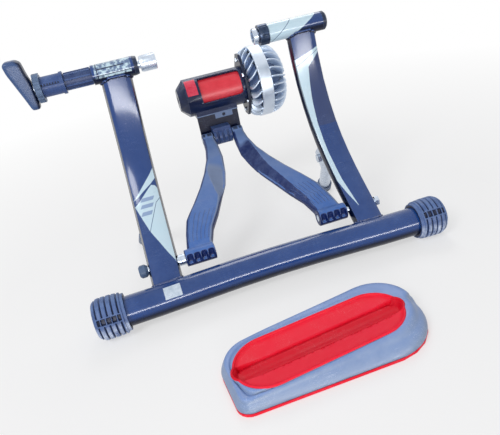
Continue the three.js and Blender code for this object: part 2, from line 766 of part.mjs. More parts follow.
function armSolid(side) {
  const normal = at(0, -chordDirection.y, chordDirection.x);
  const frames = armShares.map(({ along, inner, outer, arch }) => ({
    centre: at(
      ARM_CENTRE_X + (side * (inner + outer) * BARREL_OUT) / 2,
      pivotPoint.y + chordDirection.x * along * reach,
      pivotPoint.z + chordDirection.y * along * reach,
    ).addScaledVector(normal, arch * ARM_ARCH),
    across: at(side, 0, 0),
    up: normal.clone().multiplyScalar(side),
  }));
  const beam = sweep((i) => {
    const { inner, outer } = armShares[i];
    return roundedRectangle((outer - inner) * BARREL_OUT, ARM_DEPTH, ARM_CORNER, 2);
  }, frames);
  const sideX = (distance) => ARM_CENTRE_X + side * distance;
  const barrel = pivotBar(BARREL_R, sideX(BARREL_IN), sideX(BARREL_OUT), 20);
  const eye = bar(EYE_R, sideX(EYE_IN), sideX(EYE_OUT), HINGE_Y, HINGE_Z, 20);
  const slotWidth = (BARREL_OUT - BARREL_IN - 5 * BARREL_RIB) / 4;
  const slots = [0, 1, 2, 3].map((k) => {
    const from = BARREL_IN + BARREL_RIB + k * (slotWidth + BARREL_RIB);
    const pocket = new THREE.BoxGeometry(slotWidth, BARREL_SLOT_DEPTH * 2, BARREL_R);
    pocket.translate(sideX(from + slotWidth / 2), -BARREL_R, BARREL_R / 4);
    return solid(pocket.translate(0, pivotPoint.y, pivotPoint.z));
  });
  return cut(
    join(beam, barrel, eye),
    pivotBar(PIVOT_R + SEAT_GAP, sideX(BARREL_IN - OVERRUN), sideX(BARREL_OUT + OVERRUN), 20),
    bar(HINGE_PIN_R + SEAT_GAP, sideX(EYE_IN - OVERRUN), sideX(EYE_OUT + OVERRUN), HINGE_Y, HINGE_Z, 16),
    ...slots,
  );
}
place("arm_left", armSolid(LEFT_SIDE), looks.greyPlastic);
place("arm_right", armSolid(RIGHT_SIDE), looks.greyPlastic);
place(
  "hinge_pin",
  bar(HINGE_PIN_R, ARM_CENTRE_X - EYE_OUT, ARM_CENTRE_X + EYE_OUT, HINGE_Y, HINGE_Z, 16),
  looks.steel,
);

// Comb hinge between the arms, and the pressed steel bracket it is bolted to.
const combSlot = (COMB_HALF * 2) / 7;
const combSlots = [1, 3, 5].map((k) => {
  const left = ARM_CENTRE_X - COMB_HALF + k * combSlot;
  return block(
    at(left, HINGE_Y - COMB_R - OVERRUN, HINGE_Z - COMB_R),
    at(left + combSlot, HINGE_Y - COMB_R + COMB_SLOT_DEPTH, HINGE_Z + COMB_R),
  );
});
const bracketY = HINGE_Y + COMB_R + SEAT_GAP;
place(
  "hinge_comb",
  cut(
    join(
      bar(COMB_R, ARM_CENTRE_X - COMB_HALF, ARM_CENTRE_X + COMB_HALF, HINGE_Y, HINGE_Z, 20),
      block(
        at(ARM_CENTRE_X - COMB_HALF, HINGE_Y - COMB_R / 2, HINGE_Z),
        at(ARM_CENTRE_X + COMB_HALF, HINGE_Y + COMB_R, HINGE_Z + COMB_R + OVERRUN),
      ),
    ),
    bar(HINGE_PIN_R + SEAT_GAP, ARM_CENTRE_X - EYE_OUT, ARM_CENTRE_X + EYE_OUT, HINGE_Y, HINGE_Z, 16),
    ...combSlots,
  ),
  looks.blackPlastic,
);
const shelfZ = UNIT_Z - HOUSING_R - SEAT_GAP;
const bracketOutline = [
  at(ARM_CENTRE_X - BRACKET_LEFT, bracketY, HINGE_Z - BRACKET_DROP),
  at(ARM_CENTRE_X + BRACKET_RIGHT, bracketY + BRACKET_WALL, shelfZ),
];
place(
  "unit_bracket",
  join(
    block(bracketOutline[0], bracketOutline[1]),
    block(
      at(bracketOutline[0].x, bracketY, shelfZ - BRACKET_WALL),
      at(bracketOutline[1].x, bracketY + BRACKET_SHELF, shelfZ),
    ),
  ),
  looks.blackSteel,
);

// Housing: an eight-sided chamfer at the left end, a round body, and a window cut on the tyre's side.
const unitBar = (radius, from, to, sides) => bar(radius, from, to, UNIT_Y, UNIT_Z, sides);
const housingFoot = block(
  at(ARM_CENTRE_X - BRACKET_LEFT, UNIT_Y - HOUSING_FOOT, UNIT_Z - HOUSING_R),
  at(ARM_CENTRE_X + BRACKET_RIGHT, UNIT_Y + HOUSING_FOOT, UNIT_Z - HOUSING_R + HOUSING_CHAMFER),
);
const chamferedEnd = turned(
  [
    [0, -HOUSING_LEFT],
    [HOUSING_R - HOUSING_CHAMFER, -HOUSING_LEFT],
    [HOUSING_R + SEAT_GAP, -HOUSING_LEFT + HOUSING_CHAMFER],
    [HOUSING_R + SEAT_GAP, -HOUSING_LEFT + HOUSING_CHAMFER + HOUSING_WALL],
    [0, -HOUSING_LEFT + HOUSING_CHAMFER + HOUSING_WALL],
  ],
  UNIT_Y,
  UNIT_Z,
  8,
);
const windowReach = HOUSING_R * 2;
const windowEdge = at(
  windowReach * Math.cos(rad(WINDOW_HALF_ANGLE)),
  windowReach * Math.sin(rad(WINDOW_HALF_ANGLE)),
  0,
);
const windowWedge = new THREE.Shape();
windowWedge.moveTo(0, 0);
windowWedge.lineTo(windowEdge.x, windowEdge.y);
windowWedge.lineTo(windowReach, windowReach);
windowWedge.lineTo(windowReach, -windowReach);
windowWedge.lineTo(windowEdge.x, -windowEdge.y);
const windowBlank = new THREE.ExtrudeGeometry(windowWedge, {
  depth: WINDOW_LEFT + WINDOW_RIGHT,
  bevelEnabled: false,
});
windowBlank.rotateY(Math.PI / 2).rotateX(Math.PI / 2);
windowBlank.rotateX(rad(WINDOW_TURN)).translate(-WINDOW_LEFT, UNIT_Y, UNIT_Z);
// A lug of the housing hangs in front of the bracket, with a hole that takes its fixing.
const lugX = ARM_CENTRE_X - LUG_LEFT;
const lugY = bracketY - SEAT_GAP - LUG_WALL;
const housingLug = block(
  at(lugX, lugY, UNIT_Z - HOUSING_R - LUG_DROP),
  at(lugX + LUG_WIDTH, lugY + LUG_WALL, UNIT_Z - HOUSING_R + HOUSING_CHAMFER / 2),
);
const lugBore = new THREE.CylinderGeometry(LUG_HOLE_R, LUG_HOLE_R, LUG_WALL + 2 * OVERRUN, 16);
lugBore.translate(lugX + LUG_WIDTH / 2, lugY + LUG_WALL / 2, UNIT_Z - HOUSING_R - LUG_DROP / 2);
const housingBore = HOUSING_R - HOUSING_WALL;
place(
  "roller_housing",
  cut(
    join(
      unitBar(HOUSING_R, -HOUSING_LEFT + HOUSING_CHAMFER, HOUSING_RIGHT, 28),
      chamferedEnd,
      housingFoot,
      housingLug,
    ),
    solid(lugBore),
    unitBar(housingBore, -WINDOW_LEFT - HOUSING_WALL, HOUSING_RIGHT + OVERRUN, 28),
    unitBar(SHAFT_R + SEAT_GAP, -HOUSING_LEFT + HOUSING_CHAMFER / 2, 0, 20),
    unitBar(HOUSING_END_HOLE_R, -HOUSING_LEFT - OVERRUN, -HOUSING_LEFT + HOUSING_CHAMFER / 2, 20),
    solid(windowBlank),
  ),
  looks.blackPlastic,
);
const rollerFrom = -WINDOW_LEFT - HOUSING_WALL + ROLLER_END_GAP;
const rollerTo = WINDOW_RIGHT;
place(
  "roller_sleeve",
  cut(
    turned(
      [
        [0, rollerFrom],
        [ROLLER_R - ROLLER_END_GAP, rollerFrom],
        [ROLLER_R, rollerFrom + ROLLER_END_GAP],
        [ROLLER_R, rollerTo - ROLLER_END_GAP],
        [ROLLER_R - ROLLER_END_GAP, rollerTo],
        [0, rollerTo],
      ],
      UNIT_Y,
      UNIT_Z,
      28,
    ),
    unitBar(ROLLER_CORE_R + SEAT_GAP, rollerFrom - OVERRUN, rollerTo + OVERRUN, 20),
  ),
  looks.red,
);
place(
  "roller_core",
  cut(
    unitBar(ROLLER_CORE_R, rollerFrom, rollerTo, 20),
    unitBar(SHAFT_R + SEAT_GAP, rollerFrom - OVERRUN, rollerTo + OVERRUN, 20),
  ),
  looks.aluminium,
);
const shaftEnd = DRUM_RING_LEFT;
place(
  "roller_shaft",
  unitBar(SHAFT_R, -HOUSING_LEFT + HOUSING_CHAMFER / 2 + SEAT_GAP, shaftEnd, 20),
  looks.steel,
);

// Mounting plate between the housing and the drum: a tall rounded lozenge with four screws.
const plateShape = new THREE.Shape();
const plateCorner = PLATE_WIDE / 2;
plateShape.moveTo(PLATE_TALL, -plateCorner / 2);
plateShape.lineTo(PLATE_TALL, plateCorner / 2);
plateShape.lineTo(plateCorner, PLATE_WIDE);
plateShape.lineTo(-plateCorner, PLATE_WIDE);
plateShape.lineTo(-PLATE_TALL, plateCorner / 2);
plateShape.lineTo(-PLATE_TALL, -plateCorner / 2);
plateShape.lineTo(-plateCorner, -PLATE_WIDE);
plateShape.lineTo(plateCorner, -PLATE_WIDE);
const plateBlank = new THREE.ExtrudeGeometry(plateShape, { depth: PLATE_WALL, bevelEnabled: false });
plateBlank.rotateY(Math.PI / 2);
const plateX = HOUSING_RIGHT + SEAT_GAP;
plateBlank.translate(plateX, UNIT_Y, UNIT_Z);
place(
  "mounting_plate",
  cut(solid(plateBlank), unitBar(SHAFT_R + SEAT_GAP, plateX - OVERRUN, plateX + PLATE_WALL + OVERRUN, 20)),
  looks.blackPlastic,
);
const screwShares = [[0.83, 0], [-0.83, 0], [0.42, -0.81], [-0.42, -0.81]];
screwShares.forEach(([up, out], k) => {
  place(
    "plate_screw_" + (k + 1),
    bar(
      SCREW_R,
      plateX - SEAT_GAP - SCREW_HEAD,
      plateX - SEAT_GAP,
      UNIT_Y + out * PLATE_WIDE,
      UNIT_Z + up * PLATE_TALL,
      6,
    ),
    looks.steel,
  );
});

// Drum: an inner finned shell, a plain ring and an outer finned dome.
const shellFrom = plateX + PLATE_WALL + SEAT_GAP;
const ringTo = DRUM_RING_LEFT + DRUM_RING_LENGTH;
const innerR = DRUM_RING_R - DRUM_RING_WALL;
const fin = (outline, turn) => {
  const bladeShape = new THREE.Shape(outline.map(([r, x]) => new THREE.Vector2(r, x)));
  const blade = new THREE.ExtrudeGeometry(bladeShape, { depth: DRUM_FIN, bevelEnabled: false });
  blade.translate(0, 0, -DRUM_FIN / 2).rotateZ(-Math.PI / 2).rotateY(Math.PI);
  return solid(blade.rotateX(turn).translate(0, UNIT_Y, UNIT_Z));
};
const leftReach = DRUM_RING_LEFT - SEAT_GAP - shellFrom;
const leftFinShares = [
  [0.5, 0], [0.84, 0], [0.945, 0.3], [0.985, 1], [0.5, 1],
];
const leftFins = Array.from({ length: DRUM_LEFT_FINS }, (_, k) =>
  fin(
    leftFinShares.map(([r, x]) => [r * DRUM_RING_R, -(shellFrom + x * leftReach)]),
    (k / DRUM_LEFT_FINS) * Math.PI * 2,
  ));
place(
  "drum_inner_shell",
  cut(
    join(
      turned(
        [
          [0, shellFrom],
          [DRUM_HUB_R - DRUM_RING_WALL, shellFrom],
          [DRUM_HUB_R, shellFrom + leftReach / 2],
          [innerR, DRUM_RING_LEFT - SEAT_GAP - DRUM_RING_WALL],
          [innerR, DRUM_RING_LEFT - SEAT_GAP],
          [0, DRUM_RING_LEFT - SEAT_GAP],
        ],
        UNIT_Y,
        UNIT_Z,
        24,
      ),
      ...leftFins,
    ),
    unitBar(SHAFT_R + SEAT_GAP, shellFrom - OVERRUN, DRUM_RING_LEFT + OVERRUN, 20),
  ),
  looks.aluminium,
);
place(
  "drum_ring",
  turned(
    [
      [innerR, DRUM_RING_LEFT],
      [DRUM_RING_R - DRUM_RING_WALL / 4, DRUM_RING_LEFT],
      [DRUM_RING_R, DRUM_RING_LEFT + DRUM_RING_WALL / 4],
      [DRUM_RING_R, ringTo - DRUM_RING_WALL / 4],
      [DRUM_RING_R - DRUM_RING_WALL / 4, ringTo],
      [innerR, ringTo],
      [innerR, DRUM_RING_LEFT],
    ],
    UNIT_Y,
    UNIT_Z,
    36,
  ),
  looks.aluminium,
);
const domeFrom = ringTo + SEAT_GAP;
const domeShares = [
  [0.985, 0], [0.95, 0.36], [0.82, 0.66], [0.58, 0.88], [0.24, 1],
];
const domeBossShare = 0.24;
const domeFinShares = [[0.15, 0], ...domeShares, [0.15, 1]];
const domeFins = Array.from({ length: DRUM_DOME_FINS }, (_, k) =>
  fin(
    domeFinShares.map(([r, x]) => [r * DRUM_RING_R, -(domeFrom + x * DRUM_DOME_LENGTH)]),
    (k / DRUM_DOME_FINS) * Math.PI * 2,
  ));
place(
  "drum_dome",
  join(
    turned(
      [
        [0, domeFrom],
        ...domeShares.map(([r, x]) => [
          r * DRUM_CORE_SHARE * DRUM_RING_R,
          domeFrom + x * DRUM_CORE_SHARE * DRUM_DOME_LENGTH,
        ]),
        [0, domeFrom + DRUM_CORE_SHARE * DRUM_DOME_LENGTH],
      ],
      UNIT_Y,
      UNIT_Z,
      20,
    ),
    unitBar(DRUM_RING_R * domeBossShare, domeFrom, domeFrom + DRUM_DOME_LENGTH, 20),
    ...domeFins,
  ),
  looks.aluminium,
);
place(
  "impeller",
  unitBar(innerR - DRUM_RING_WALL, DRUM_RING_LEFT + SEAT_GAP, ringTo - SEAT_GAP, 24),
  looks.aluminium,
);

// Folding legs: one behind each upright, on a U bracket, with a rubber tip cut flat at the floor.
const legCentre = upright.getPoint(LEG_SHARE);
const legTangent = upright.getTangent(LEG_SHARE);
const legOut = at(0, legTangent.z, -legTangent.y);
const legPivot = legCentre.clone().addScaledVector(legOut, UPRIGHT_DEPTH / 2 + LEG_STANDOFF);
function foldingLeg(side, name) {
  const x = side * uprightX(legCentre.z);
  const pivot = at(x, legPivot.y, legPivot.z);
  const foot = at(side * LEG_FOOT_X, LEG_FOOT_Y, 0);
  const direction = foot.clone().sub(pivot).normalize();
  const across = at(0, -direction.z, direction.y).normalize();
  const sideways = new THREE.Vector3().crossVectors(across, direction).normalize();
  const length = foot.distanceTo(pivot);
  const legBar = (radius, from, to, sides) =>
    sweep(
      () => circle(radius, sides),
      [from, to].map((distance) => ({
        centre: pivot.clone().addScaledVector(direction, distance),
        across: sideways,
        up: across,
      })),
    );
  const legEye = (radius, half, sides) => bar(radius, x - half, x + half, legPivot.y, legPivot.z, sides);
  place(
    name + "_tube",
    cut(
      join(
        legBar(LEG_R, LEG_EYE_R / 2, length - LEG_TIP_LENGTH / 2, 16),
        legEye(LEG_EYE_R, LEG_EYE_HALF, 20),
      ),
      legEye(LEG_BOLT_R + SEAT_GAP, LEG_EYE_HALF * 2, 16),
      legBar(LEG_R - LEG_WALL, LEG_EYE_R * 2, length, 16),
    ),
    looks.frame,
  );
  const floor = block(
    at(-LEG_FOOT_X * 2, LEG_FOOT_Y - LEG_TIP_LENGTH * 2, -LEG_TIP_LENGTH * 2),
    at(LEG_FOOT_X * 2, LEG_FOOT_Y + LEG_TIP_LENGTH * 2, 0),
  );
  place(
    name + "_tip",
    cut(
      legBar(LEG_TIP_R, length - LEG_TIP_LENGTH, length + LEG_TIP_FLAT, 16),
      legBar(LEG_R + SEAT_GAP, length - LEG_TIP_LENGTH * 2, length - LEG_TIP_LENGTH / 2 + SEAT_GAP, 16),
      floor,
    ),
    looks.rubber,
  );
  // The bracket: two cheeks and a back plate, fitted to the curve of the upright.
  const cheekIn = LEG_EYE_HALF + SEAT_GAP;
  const cheekOut = cheekIn + LEG_CHEEK;
  const depth = UPRIGHT_DEPTH / 2 + LEG_STANDOFF + LEG_EYE_R;
  const reachBack = UPRIGHT_DEPTH / 2 + LEG_STANDOFF - LEG_EYE_R - SEAT_GAP;
  const bracketBox = (low, high, from, to) => {
    const box = new THREE.BoxGeometry(high - low, LEG_BRACKET_LENGTH, to - from);
    const frame = new THREE.Matrix4().makeBasis(at(1, 0, 0), legTangent, legOut);
    box.translate((low + high) / 2, 0, (from + to) / 2).applyMatrix4(frame);
    return solid(box.translate(x, legCentre.y, legCentre.z));
  };
  place(
    name + "_bracket",
    cut(
      join(
        bracketBox(-cheekOut, -cheekIn, 0, depth),
        bracketBox(cheekIn, cheekOut, 0, depth),
        bracketBox(-cheekOut, cheekOut, 0, reachBack),
      ),
      uprightSolid(side, SEAT_GAP),
      legEye(LEG_BOLT_R + SEAT_GAP, LEG_EYE_HALF * 2 + LEG_CHEEK, 16),
    ),
    looks.blackSteel,
  );
  const headIn = cheekOut + SEAT_GAP;
  const boltHead = (hand) =>
    bar(
      LEG_BOLT_HEAD_R,
      x + hand * headIn,
      x + hand * (headIn + LEG_BOLT_HEAD),
      legPivot.y,
      legPivot.z,
      6,
    );
  place(
    name + "_bolt",
    join(legEye(LEG_BOLT_R, headIn, 16), boltHead(LEFT_SIDE), boltHead(RIGHT_SIDE)),
    looks.steel,
  );
}
foldingLeg(LEFT_SIDE, "leg_left");
foldingLeg(RIGHT_SIDE, "leg_right");

// Front-wheel block: a hollow shell on a red sill, with a red tray that holds the tyre.
// Heights are taken from the floor, or down from the sloping top.
const level = (z) => () => z;
const blockMiddle = (BLOCK_RIGHT_HEIGHT + BLOCK_LEFT_HEIGHT) / 2;
const topAt = (x) => blockMiddle + ((BLOCK_RIGHT_HEIGHT - BLOCK_LEFT_HEIGHT) * x) / BLOCK_LENGTH;
const below = (drop) => (x) => topAt(x) - drop;
// A ring takes a radius and an inset for each corner, from the far right one leftwards.
function blockRing(length, leftDepth, rightDepth, radii, insets, heightAt, shiftX = 0, shiftY = 0) {
  const half = length / 2;
  const places = [
    [half, rightDepth / 2],
    [-half, leftDepth / 2],
    [-half, -leftDepth / 2],
    [half, -rightDepth / 2],
  ];
  const steps = 5;
  const ring = [];
  places.forEach(([x, y], quarter) => {
    const inset = insets[quarter];
    const radius = Math.min(radii[quarter] - inset, Math.abs(y) - inset);
    const middleX = Math.sign(x) * (half - inset - radius);
    const middleY = Math.sign(y) * (Math.abs(y) - inset - radius);
    for (let i = 0; i <= steps; i += 1) {
      const angle = (quarter + i / steps) * (Math.PI / 2);
      const along = shiftX + middleX + radius * Math.cos(angle);
      ring.push(at(along, shiftY + middleY + radius * Math.sin(angle), heightAt(along)));
    }
  });
  return ring.map((point) => point.applyAxisAngle(at(0, 0, 1), rad(BLOCK_TURN)).add(at(BLOCK_X, BLOCK_Y, 0)));
}
// The sides lean in most at the near right corner.
const leanShares = [0.5, 0.42, 0.42, 1];
const blockBody = (inset, leanPart, heightAt) =>
  blockRing(
    BLOCK_LENGTH,
    BLOCK_LEFT_DEPTH,
    BLOCK_RIGHT_DEPTH,
    BLOCK_CORNERS,
    leanShares.map((share) => inset + BLOCK_LEAN * share * leanPart),
    heightAt,
  );
const offsetRing = (length, left, right, corner) => (inset, heightAt) =>
  blockRing(
    length,
    left,
    right,
    BLOCK_CORNERS.map(() => corner),
    BLOCK_CORNERS.map(() => inset),
    heightAt,
    -TROUGH_OFF_LENGTH,
    -TROUGH_OFF_DEPTH,
  );
const troughRing = offsetRing(TROUGH_LENGTH, TROUGH_LEFT_DEPTH, TROUGH_RIGHT_DEPTH, TROUGH_CORNER);
const trackRing = offsetRing(TRACK_LENGTH, TRACK_WIDTH, TRACK_WIDTH, TRACK_WIDTH);
const sillTop = BLOCK_SILL - SEAT_GAP;
place(
  "block_sill",
  cut(
    loft([
      blockBody(BLOCK_WALL / 2, 0, level(0)),
      blockBody(0, 0, level(BLOCK_WALL / 2)),
      blockBody(0, 0, level(sillTop)),
    ]),
    loft([
      blockBody(BLOCK_WALL * 3, 0, level(-OVERRUN)),
      blockBody(BLOCK_WALL * 3, 0, level(BLOCK_SILL + OVERRUN)),
    ]),
  ),
  looks.red,
);
const clearTop = level(BLOCK_RIGHT_HEIGHT + OVERRUN);
place(
  "block_shell",
  cut(
    loft([
      blockBody(BLOCK_EDGE / 2, 0, level(BLOCK_SILL)),
      blockBody(0, 1, below(BLOCK_CREASE)),
      blockBody(BLOCK_EDGE, 1, below(0)),
    ]),
    loft([
      blockBody(BLOCK_WALL + BLOCK_EDGE, 0, level(BLOCK_SILL - OVERRUN)),
      blockBody(BLOCK_WALL + BLOCK_EDGE, 1, below(BLOCK_WALL + BLOCK_CREASE)),
      blockBody(BLOCK_WALL * 2 + BLOCK_EDGE, 1, below(BLOCK_WALL)),
    ]),
    loft([troughRing(-SEAT_GAP, level(0)), troughRing(-SEAT_GAP, clearTop)]),
    loft([trackRing(-SEAT_GAP, level(0)), trackRing(-SEAT_GAP, clearTop)]),
  ),
  looks.blockGrey,
);

// The tray slopes in from its lip to the edges of the groove that the tyre stands in.
const slopeInset = (TROUGH_RIGHT_DEPTH - TRACK_WIDTH) / 2;
const lipFoot = below(-SEAT_GAP);
const lipTop = below(-SEAT_GAP - TROUGH_LIP);
const lipMiddle = below(-SEAT_GAP - TROUGH_LIP / 2);
const underside = below(TROUGH_WALL - SEAT_GAP);
place(
  "block_tray",
  cut(
    join(
      loft([troughRing(-TROUGH_LIP, lipFoot), troughRing(-TROUGH_LIP / 2, lipTop)]),
      loft([trackRing(-TROUGH_LIP, lipFoot), trackRing(-TROUGH_LIP / 2, lipTop)]),
      loft([
        troughRing(slopeInset, below(TROUGH_SINK + TROUGH_WALL)),
        troughRing(0, underside),
        troughRing(0, lipMiddle),
      ]),
      loft([
        trackRing(TROUGH_WALL, below(TRACK_SINK + TROUGH_WALL)),
        trackRing(0, underside),
        trackRing(0, lipMiddle),
      ]),
    ),
    loft([
      troughRing(slopeInset, below(TROUGH_SINK)),
      troughRing(TROUGH_WALL, lipFoot),
      troughRing(0, below(-OVERRUN)),
    ]),
    loft([
      trackRing(TROUGH_WALL * 2, below(TRACK_SINK)),
      trackRing(TROUGH_WALL, below(TROUGH_SINK)),
      trackRing(0, below(-OVERRUN)),
    ]),
  ),
  looks.red,
);

// The origin is at the middle of the footprint, on the floor.
const box = new THREE.Box3().setFromObject(trainer, true);
trainer.position.set(-(box.min.x + box.max.x) / 2, -(box.min.y + box.max.y) / 2, 0);

export default trainer;
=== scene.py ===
import math

import bmesh
import bpy
from mathutils import Matrix, Vector
from mathutils.bvhtree import BVHTree


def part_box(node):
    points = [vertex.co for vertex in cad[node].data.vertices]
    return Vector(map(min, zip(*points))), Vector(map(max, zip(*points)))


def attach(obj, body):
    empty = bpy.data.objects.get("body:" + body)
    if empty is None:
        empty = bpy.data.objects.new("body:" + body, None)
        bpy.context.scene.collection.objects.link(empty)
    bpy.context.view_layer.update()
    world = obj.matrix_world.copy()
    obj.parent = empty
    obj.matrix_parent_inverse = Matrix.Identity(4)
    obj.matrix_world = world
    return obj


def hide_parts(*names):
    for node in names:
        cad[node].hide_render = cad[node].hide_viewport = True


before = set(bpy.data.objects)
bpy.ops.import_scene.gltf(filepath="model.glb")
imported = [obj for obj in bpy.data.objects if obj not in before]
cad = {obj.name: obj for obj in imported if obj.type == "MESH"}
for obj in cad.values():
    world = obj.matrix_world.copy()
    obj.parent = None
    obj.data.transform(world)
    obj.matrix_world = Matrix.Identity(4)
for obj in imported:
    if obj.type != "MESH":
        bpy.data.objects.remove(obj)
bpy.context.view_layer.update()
mm = 0.001

# Camera. It stands in front of the trainer at head height while kneeling, a little to the left,
# and looks down over the floor tube to the resistance unit. The trainer stands square in the room.
camera = bpy.data.objects.new("camera", bpy.data.cameras.new("camera"))
bpy.context.scene.collection.objects.link(camera)
camera_right = Vector((0.943862, -0.276745, -0.180381))
camera_up = Vector((0.286786, 0.415465, 0.863217))
camera_ahead = Vector((0.163949, 0.866488, -0.471508))
camera_turn = Matrix((camera_right, camera_up, -camera_ahead)).transposed().to_4x4()
camera.matrix_world = Matrix.Translation((-0.150992, -0.826688, 0.515163)) @ camera_turn
camera.data.sensor_width = 36
camera.data.lens = 39.094
camera.data.shift_x = -0.018878
camera.data.shift_y = 0.031476
camera.data.clip_start = 0.01
bpy.context.scene.camera = camera
bpy.context.scene.view_settings.view_transform = "Standard"


# Room. A pale floor that keeps the trainer's shadow, a white room around it, three soft lamps (over
# the left shoulder, low in front, high behind the unit) and a strip that draws a line on the gloss.
def node(tree, kind, sockets=None, **settings):
    made = tree.nodes.new(kind if "Node" in kind else "ShaderNode" + kind)
    for name, value in settings.items():
        setattr(made, name, value)
    for key, value in (sockets or {}).items():
        if isinstance(value, bpy.types.NodeSocket):
            tree.links.new(value, made.inputs[key])
        else:
            made.inputs[key].default_value = value
    return made


def tree_of(values):
    return next(value.id_data for value in values if isinstance(value, bpy.types.NodeSocket))


def maths(operation, *values, clamp=False):
    sockets = dict(enumerate(values))
    return node(tree_of(values), "Math", sockets, operation=operation, use_clamp=clamp).outputs[0]


def vectors(operation, *values):
    made = node(tree_of(values), "VectorMath", dict(enumerate(values)), operation=operation).outputs
    return made["Value" if operation in ("LENGTH", "DOT_PRODUCT") else "Vector"]


def ramp(value, start, end, low=0.0, high=1.0):
    levels = {"Value": value, "From Min": start, "From Max": end, "To Min": low, "To Max": high}
    return node(value.id_data, "MapRange", levels).outputs[0]


def place_on(tree):
    return node(tree, "TexCoord").outputs["Object"]


def new_material(name):
    made = bpy.data.materials.new(name)
    made.use_nodes = True
    made.node_tree.nodes.clear()
    return made, made.node_tree


def seen_ray(tree):
    rays = node(tree, "LightPath").outputs
    mirrored = maths("MAXIMUM", rays["Is Camera Ray"], rays["Is Glossy Ray"])
    return maths("MAXIMUM", mirrored, rays["Is Transmission Ray"])


world = bpy.data.worlds.new("white_room")
bpy.context.scene.world = world
world.use_nodes = True
sky = world.node_tree
sky.nodes.clear()
room_light, white = 0.42, (1, 1, 1, 1)
room_level = ramp(seen_ray(sky), 0, 1, room_light, 1.0)
room = node(sky, "Background", {"Color": white, "Strength": room_level})
node(sky, "OutputWorld", {"Surface": room.outputs[0]})

floor_reach, floor_sides = 14, 64
floor_mesh = bpy.data.meshes.new("floor")
floor_edge = [(floor_reach * math.cos(turn), floor_reach * math.sin(turn), 0)
              for turn in (math.tau * k / floor_sides for k in range(floor_sides))]
floor_mesh.from_pydata(floor_edge, [], [tuple(range(floor_sides))])
floor = bpy.data.objects.new("floor", floor_mesh)
bpy.context.scene.collection.objects.link(floor)
floor_material, tree = new_material("pale_floor")
far = ramp(vectors("LENGTH", place_on(tree)), 0.5, 1.6, 0.55, 1.0)
glow = maths("MULTIPLY", far, seen_ray(tree))
matt = node(tree, "BsdfDiffuse", {"Color": (0.86, 0.86, 0.87, 1)})
light = node(tree, "Emission", {"Color": white, "Strength": 1.0})
both = node(tree, "MixShader", {0: glow, 1: matt.outputs[0], 2: light.outputs[0]})
node(tree, "OutputMaterial", {"Surface": both.outputs[0]})
floor_mesh.materials.append(floor_material)

for name, shape, spot, aim, size, power in (
        ("lamp_left", "DISK", (-1.7, -1.7, 2.3), (0, 0, 0.2), (1.3, 1.3), 42),
        ("lamp_low", "DISK", (-0.3, -2.4, 0.30), (0, 0, 0.1), (0.8, 0.8), 14),
        ("lamp_back", "DISK", (0.6, 1.9, 2.3), (0, 0.1, 0.2), (1.4, 1.4), 18),
        ("lamp_strip", "RECTANGLE", (0.3, -2.4, 0.14), (0.3, 0, 0.14), (3.6, 0.26), 50)):
    lamp = bpy.data.objects.new(name, bpy.data.lights.new(name, "AREA"))
    bpy.context.scene.collection.objects.link(lamp)
    lamp.data.shape = shape
    lamp.data.size, lamp.data.size_y = size
    lamp.data.energy = power
    lamp.location = spot
    lamp.rotation_euler = (Vector(aim) - Vector(spot)).to_track_quat("-Z", "Y").to_euler()
    # only gloss sees the strip, and the low lamp leaves no spot of its own on it
    lamp.visible_diffuse = name != "lamp_strip"
    lamp.visible_glossy = name != "lamp_low"


# Floor tube. A bowed 50 mm steel tube in dark blue gloss paint, with a ground-off weld round the
# foot of each upright and a plain printed label near the left one. The paint is a little dusty.
def shader_group(name, output, **inputs):
    tree = bpy.data.node_groups.new(name, "ShaderNodeTree")
    for socket, value in inputs.items():
        made = tree.interface.new_socket(socket, in_out="INPUT", socket_type="NodeSocketFloat")
        made.default_value = value
    tree.interface.new_socket(output, in_out="OUTPUT", socket_type="NodeSocketFloat")
    return tree, tree.nodes.new("NodeGroupInput").outputs, tree.nodes.new("NodeGroupOutput").inputs[0]


def fill(tree, group, **sockets):
    return node(tree, "Group", sockets, node_tree=group).outputs[0]


def noise(tree, size, detail, roughness=0.5, place=None):
    sockets = {"Vector": place_on(tree) if place is None else place, "Scale": maths("DIVIDE", 1.0, size),
               "Detail": detail, "Roughness": roughness}
    return node(tree, "TexNoise", sockets).outputs["Fac"]


def facing(tree):
    return node(tree, "SeparateXYZ", {0: node(tree, "NewGeometry").outputs["Normal"]}).outputs


def times(first, *others):
    for other in others:
        first = maths("MULTIPLY", first, other, clamp=True)
    return first


# fine grain: the orange peel of paint and the spark finish of moulded plastic, as a height
surface_grain, given, out = shader_group("surface_grain", "Height", Size=0.001, Roughness=0.5)
surface_grain.links.new(noise(surface_grain, given["Size"], 3.0, given["Roughness"]), out)

# patches: slow, soft changes of tone over a hand's breadth
tone_patches, given, out = shader_group("tone_patches", "Tone", Size=0.05, Contrast=1.0)
centred = maths("SUBTRACT", noise(tone_patches, given["Size"], 4.0, 0.6), 0.5)
spread = maths("MULTIPLY_ADD", centred, given["Contrast"], 0.5, clamp=True)
tone_patches.links.new(spread, out)

# worn edges: where a rounded normal turns away from the face's own
edge_wear, given, out = shader_group("edge_wear", "Mask", Width=0.001, Amount=1.0, Breakup=0.004)
own = node(edge_wear, "NewGeometry").outputs["Normal"]
rounded = node(edge_wear, "Bevel", {"Radius": given["Width"]}, samples=6).outputs["Normal"]
turned = ramp(vectors("DOT_PRODUCT", own, rounded), 0.995, 0.86)
chips = ramp(noise(edge_wear, given["Breakup"], 5.0, 0.65), 0.42, 0.62)
edge_wear.links.new(times(turned, chips, given["Amount"]), out)

# dust: settles on what faces up, thicker in soft drifts
dust_film, given, out = shader_group("dust_film", "Mask", Amount=0.3, Drift=0.02)
upward = ramp(facing(dust_film)["Z"], 0.15, 0.95)
drifts = ramp(noise(dust_film, given["Drift"], 6.0, 0.7), 0.35, 0.7)
dust_film.links.new(times(upward, drifts, given["Amount"]), out)

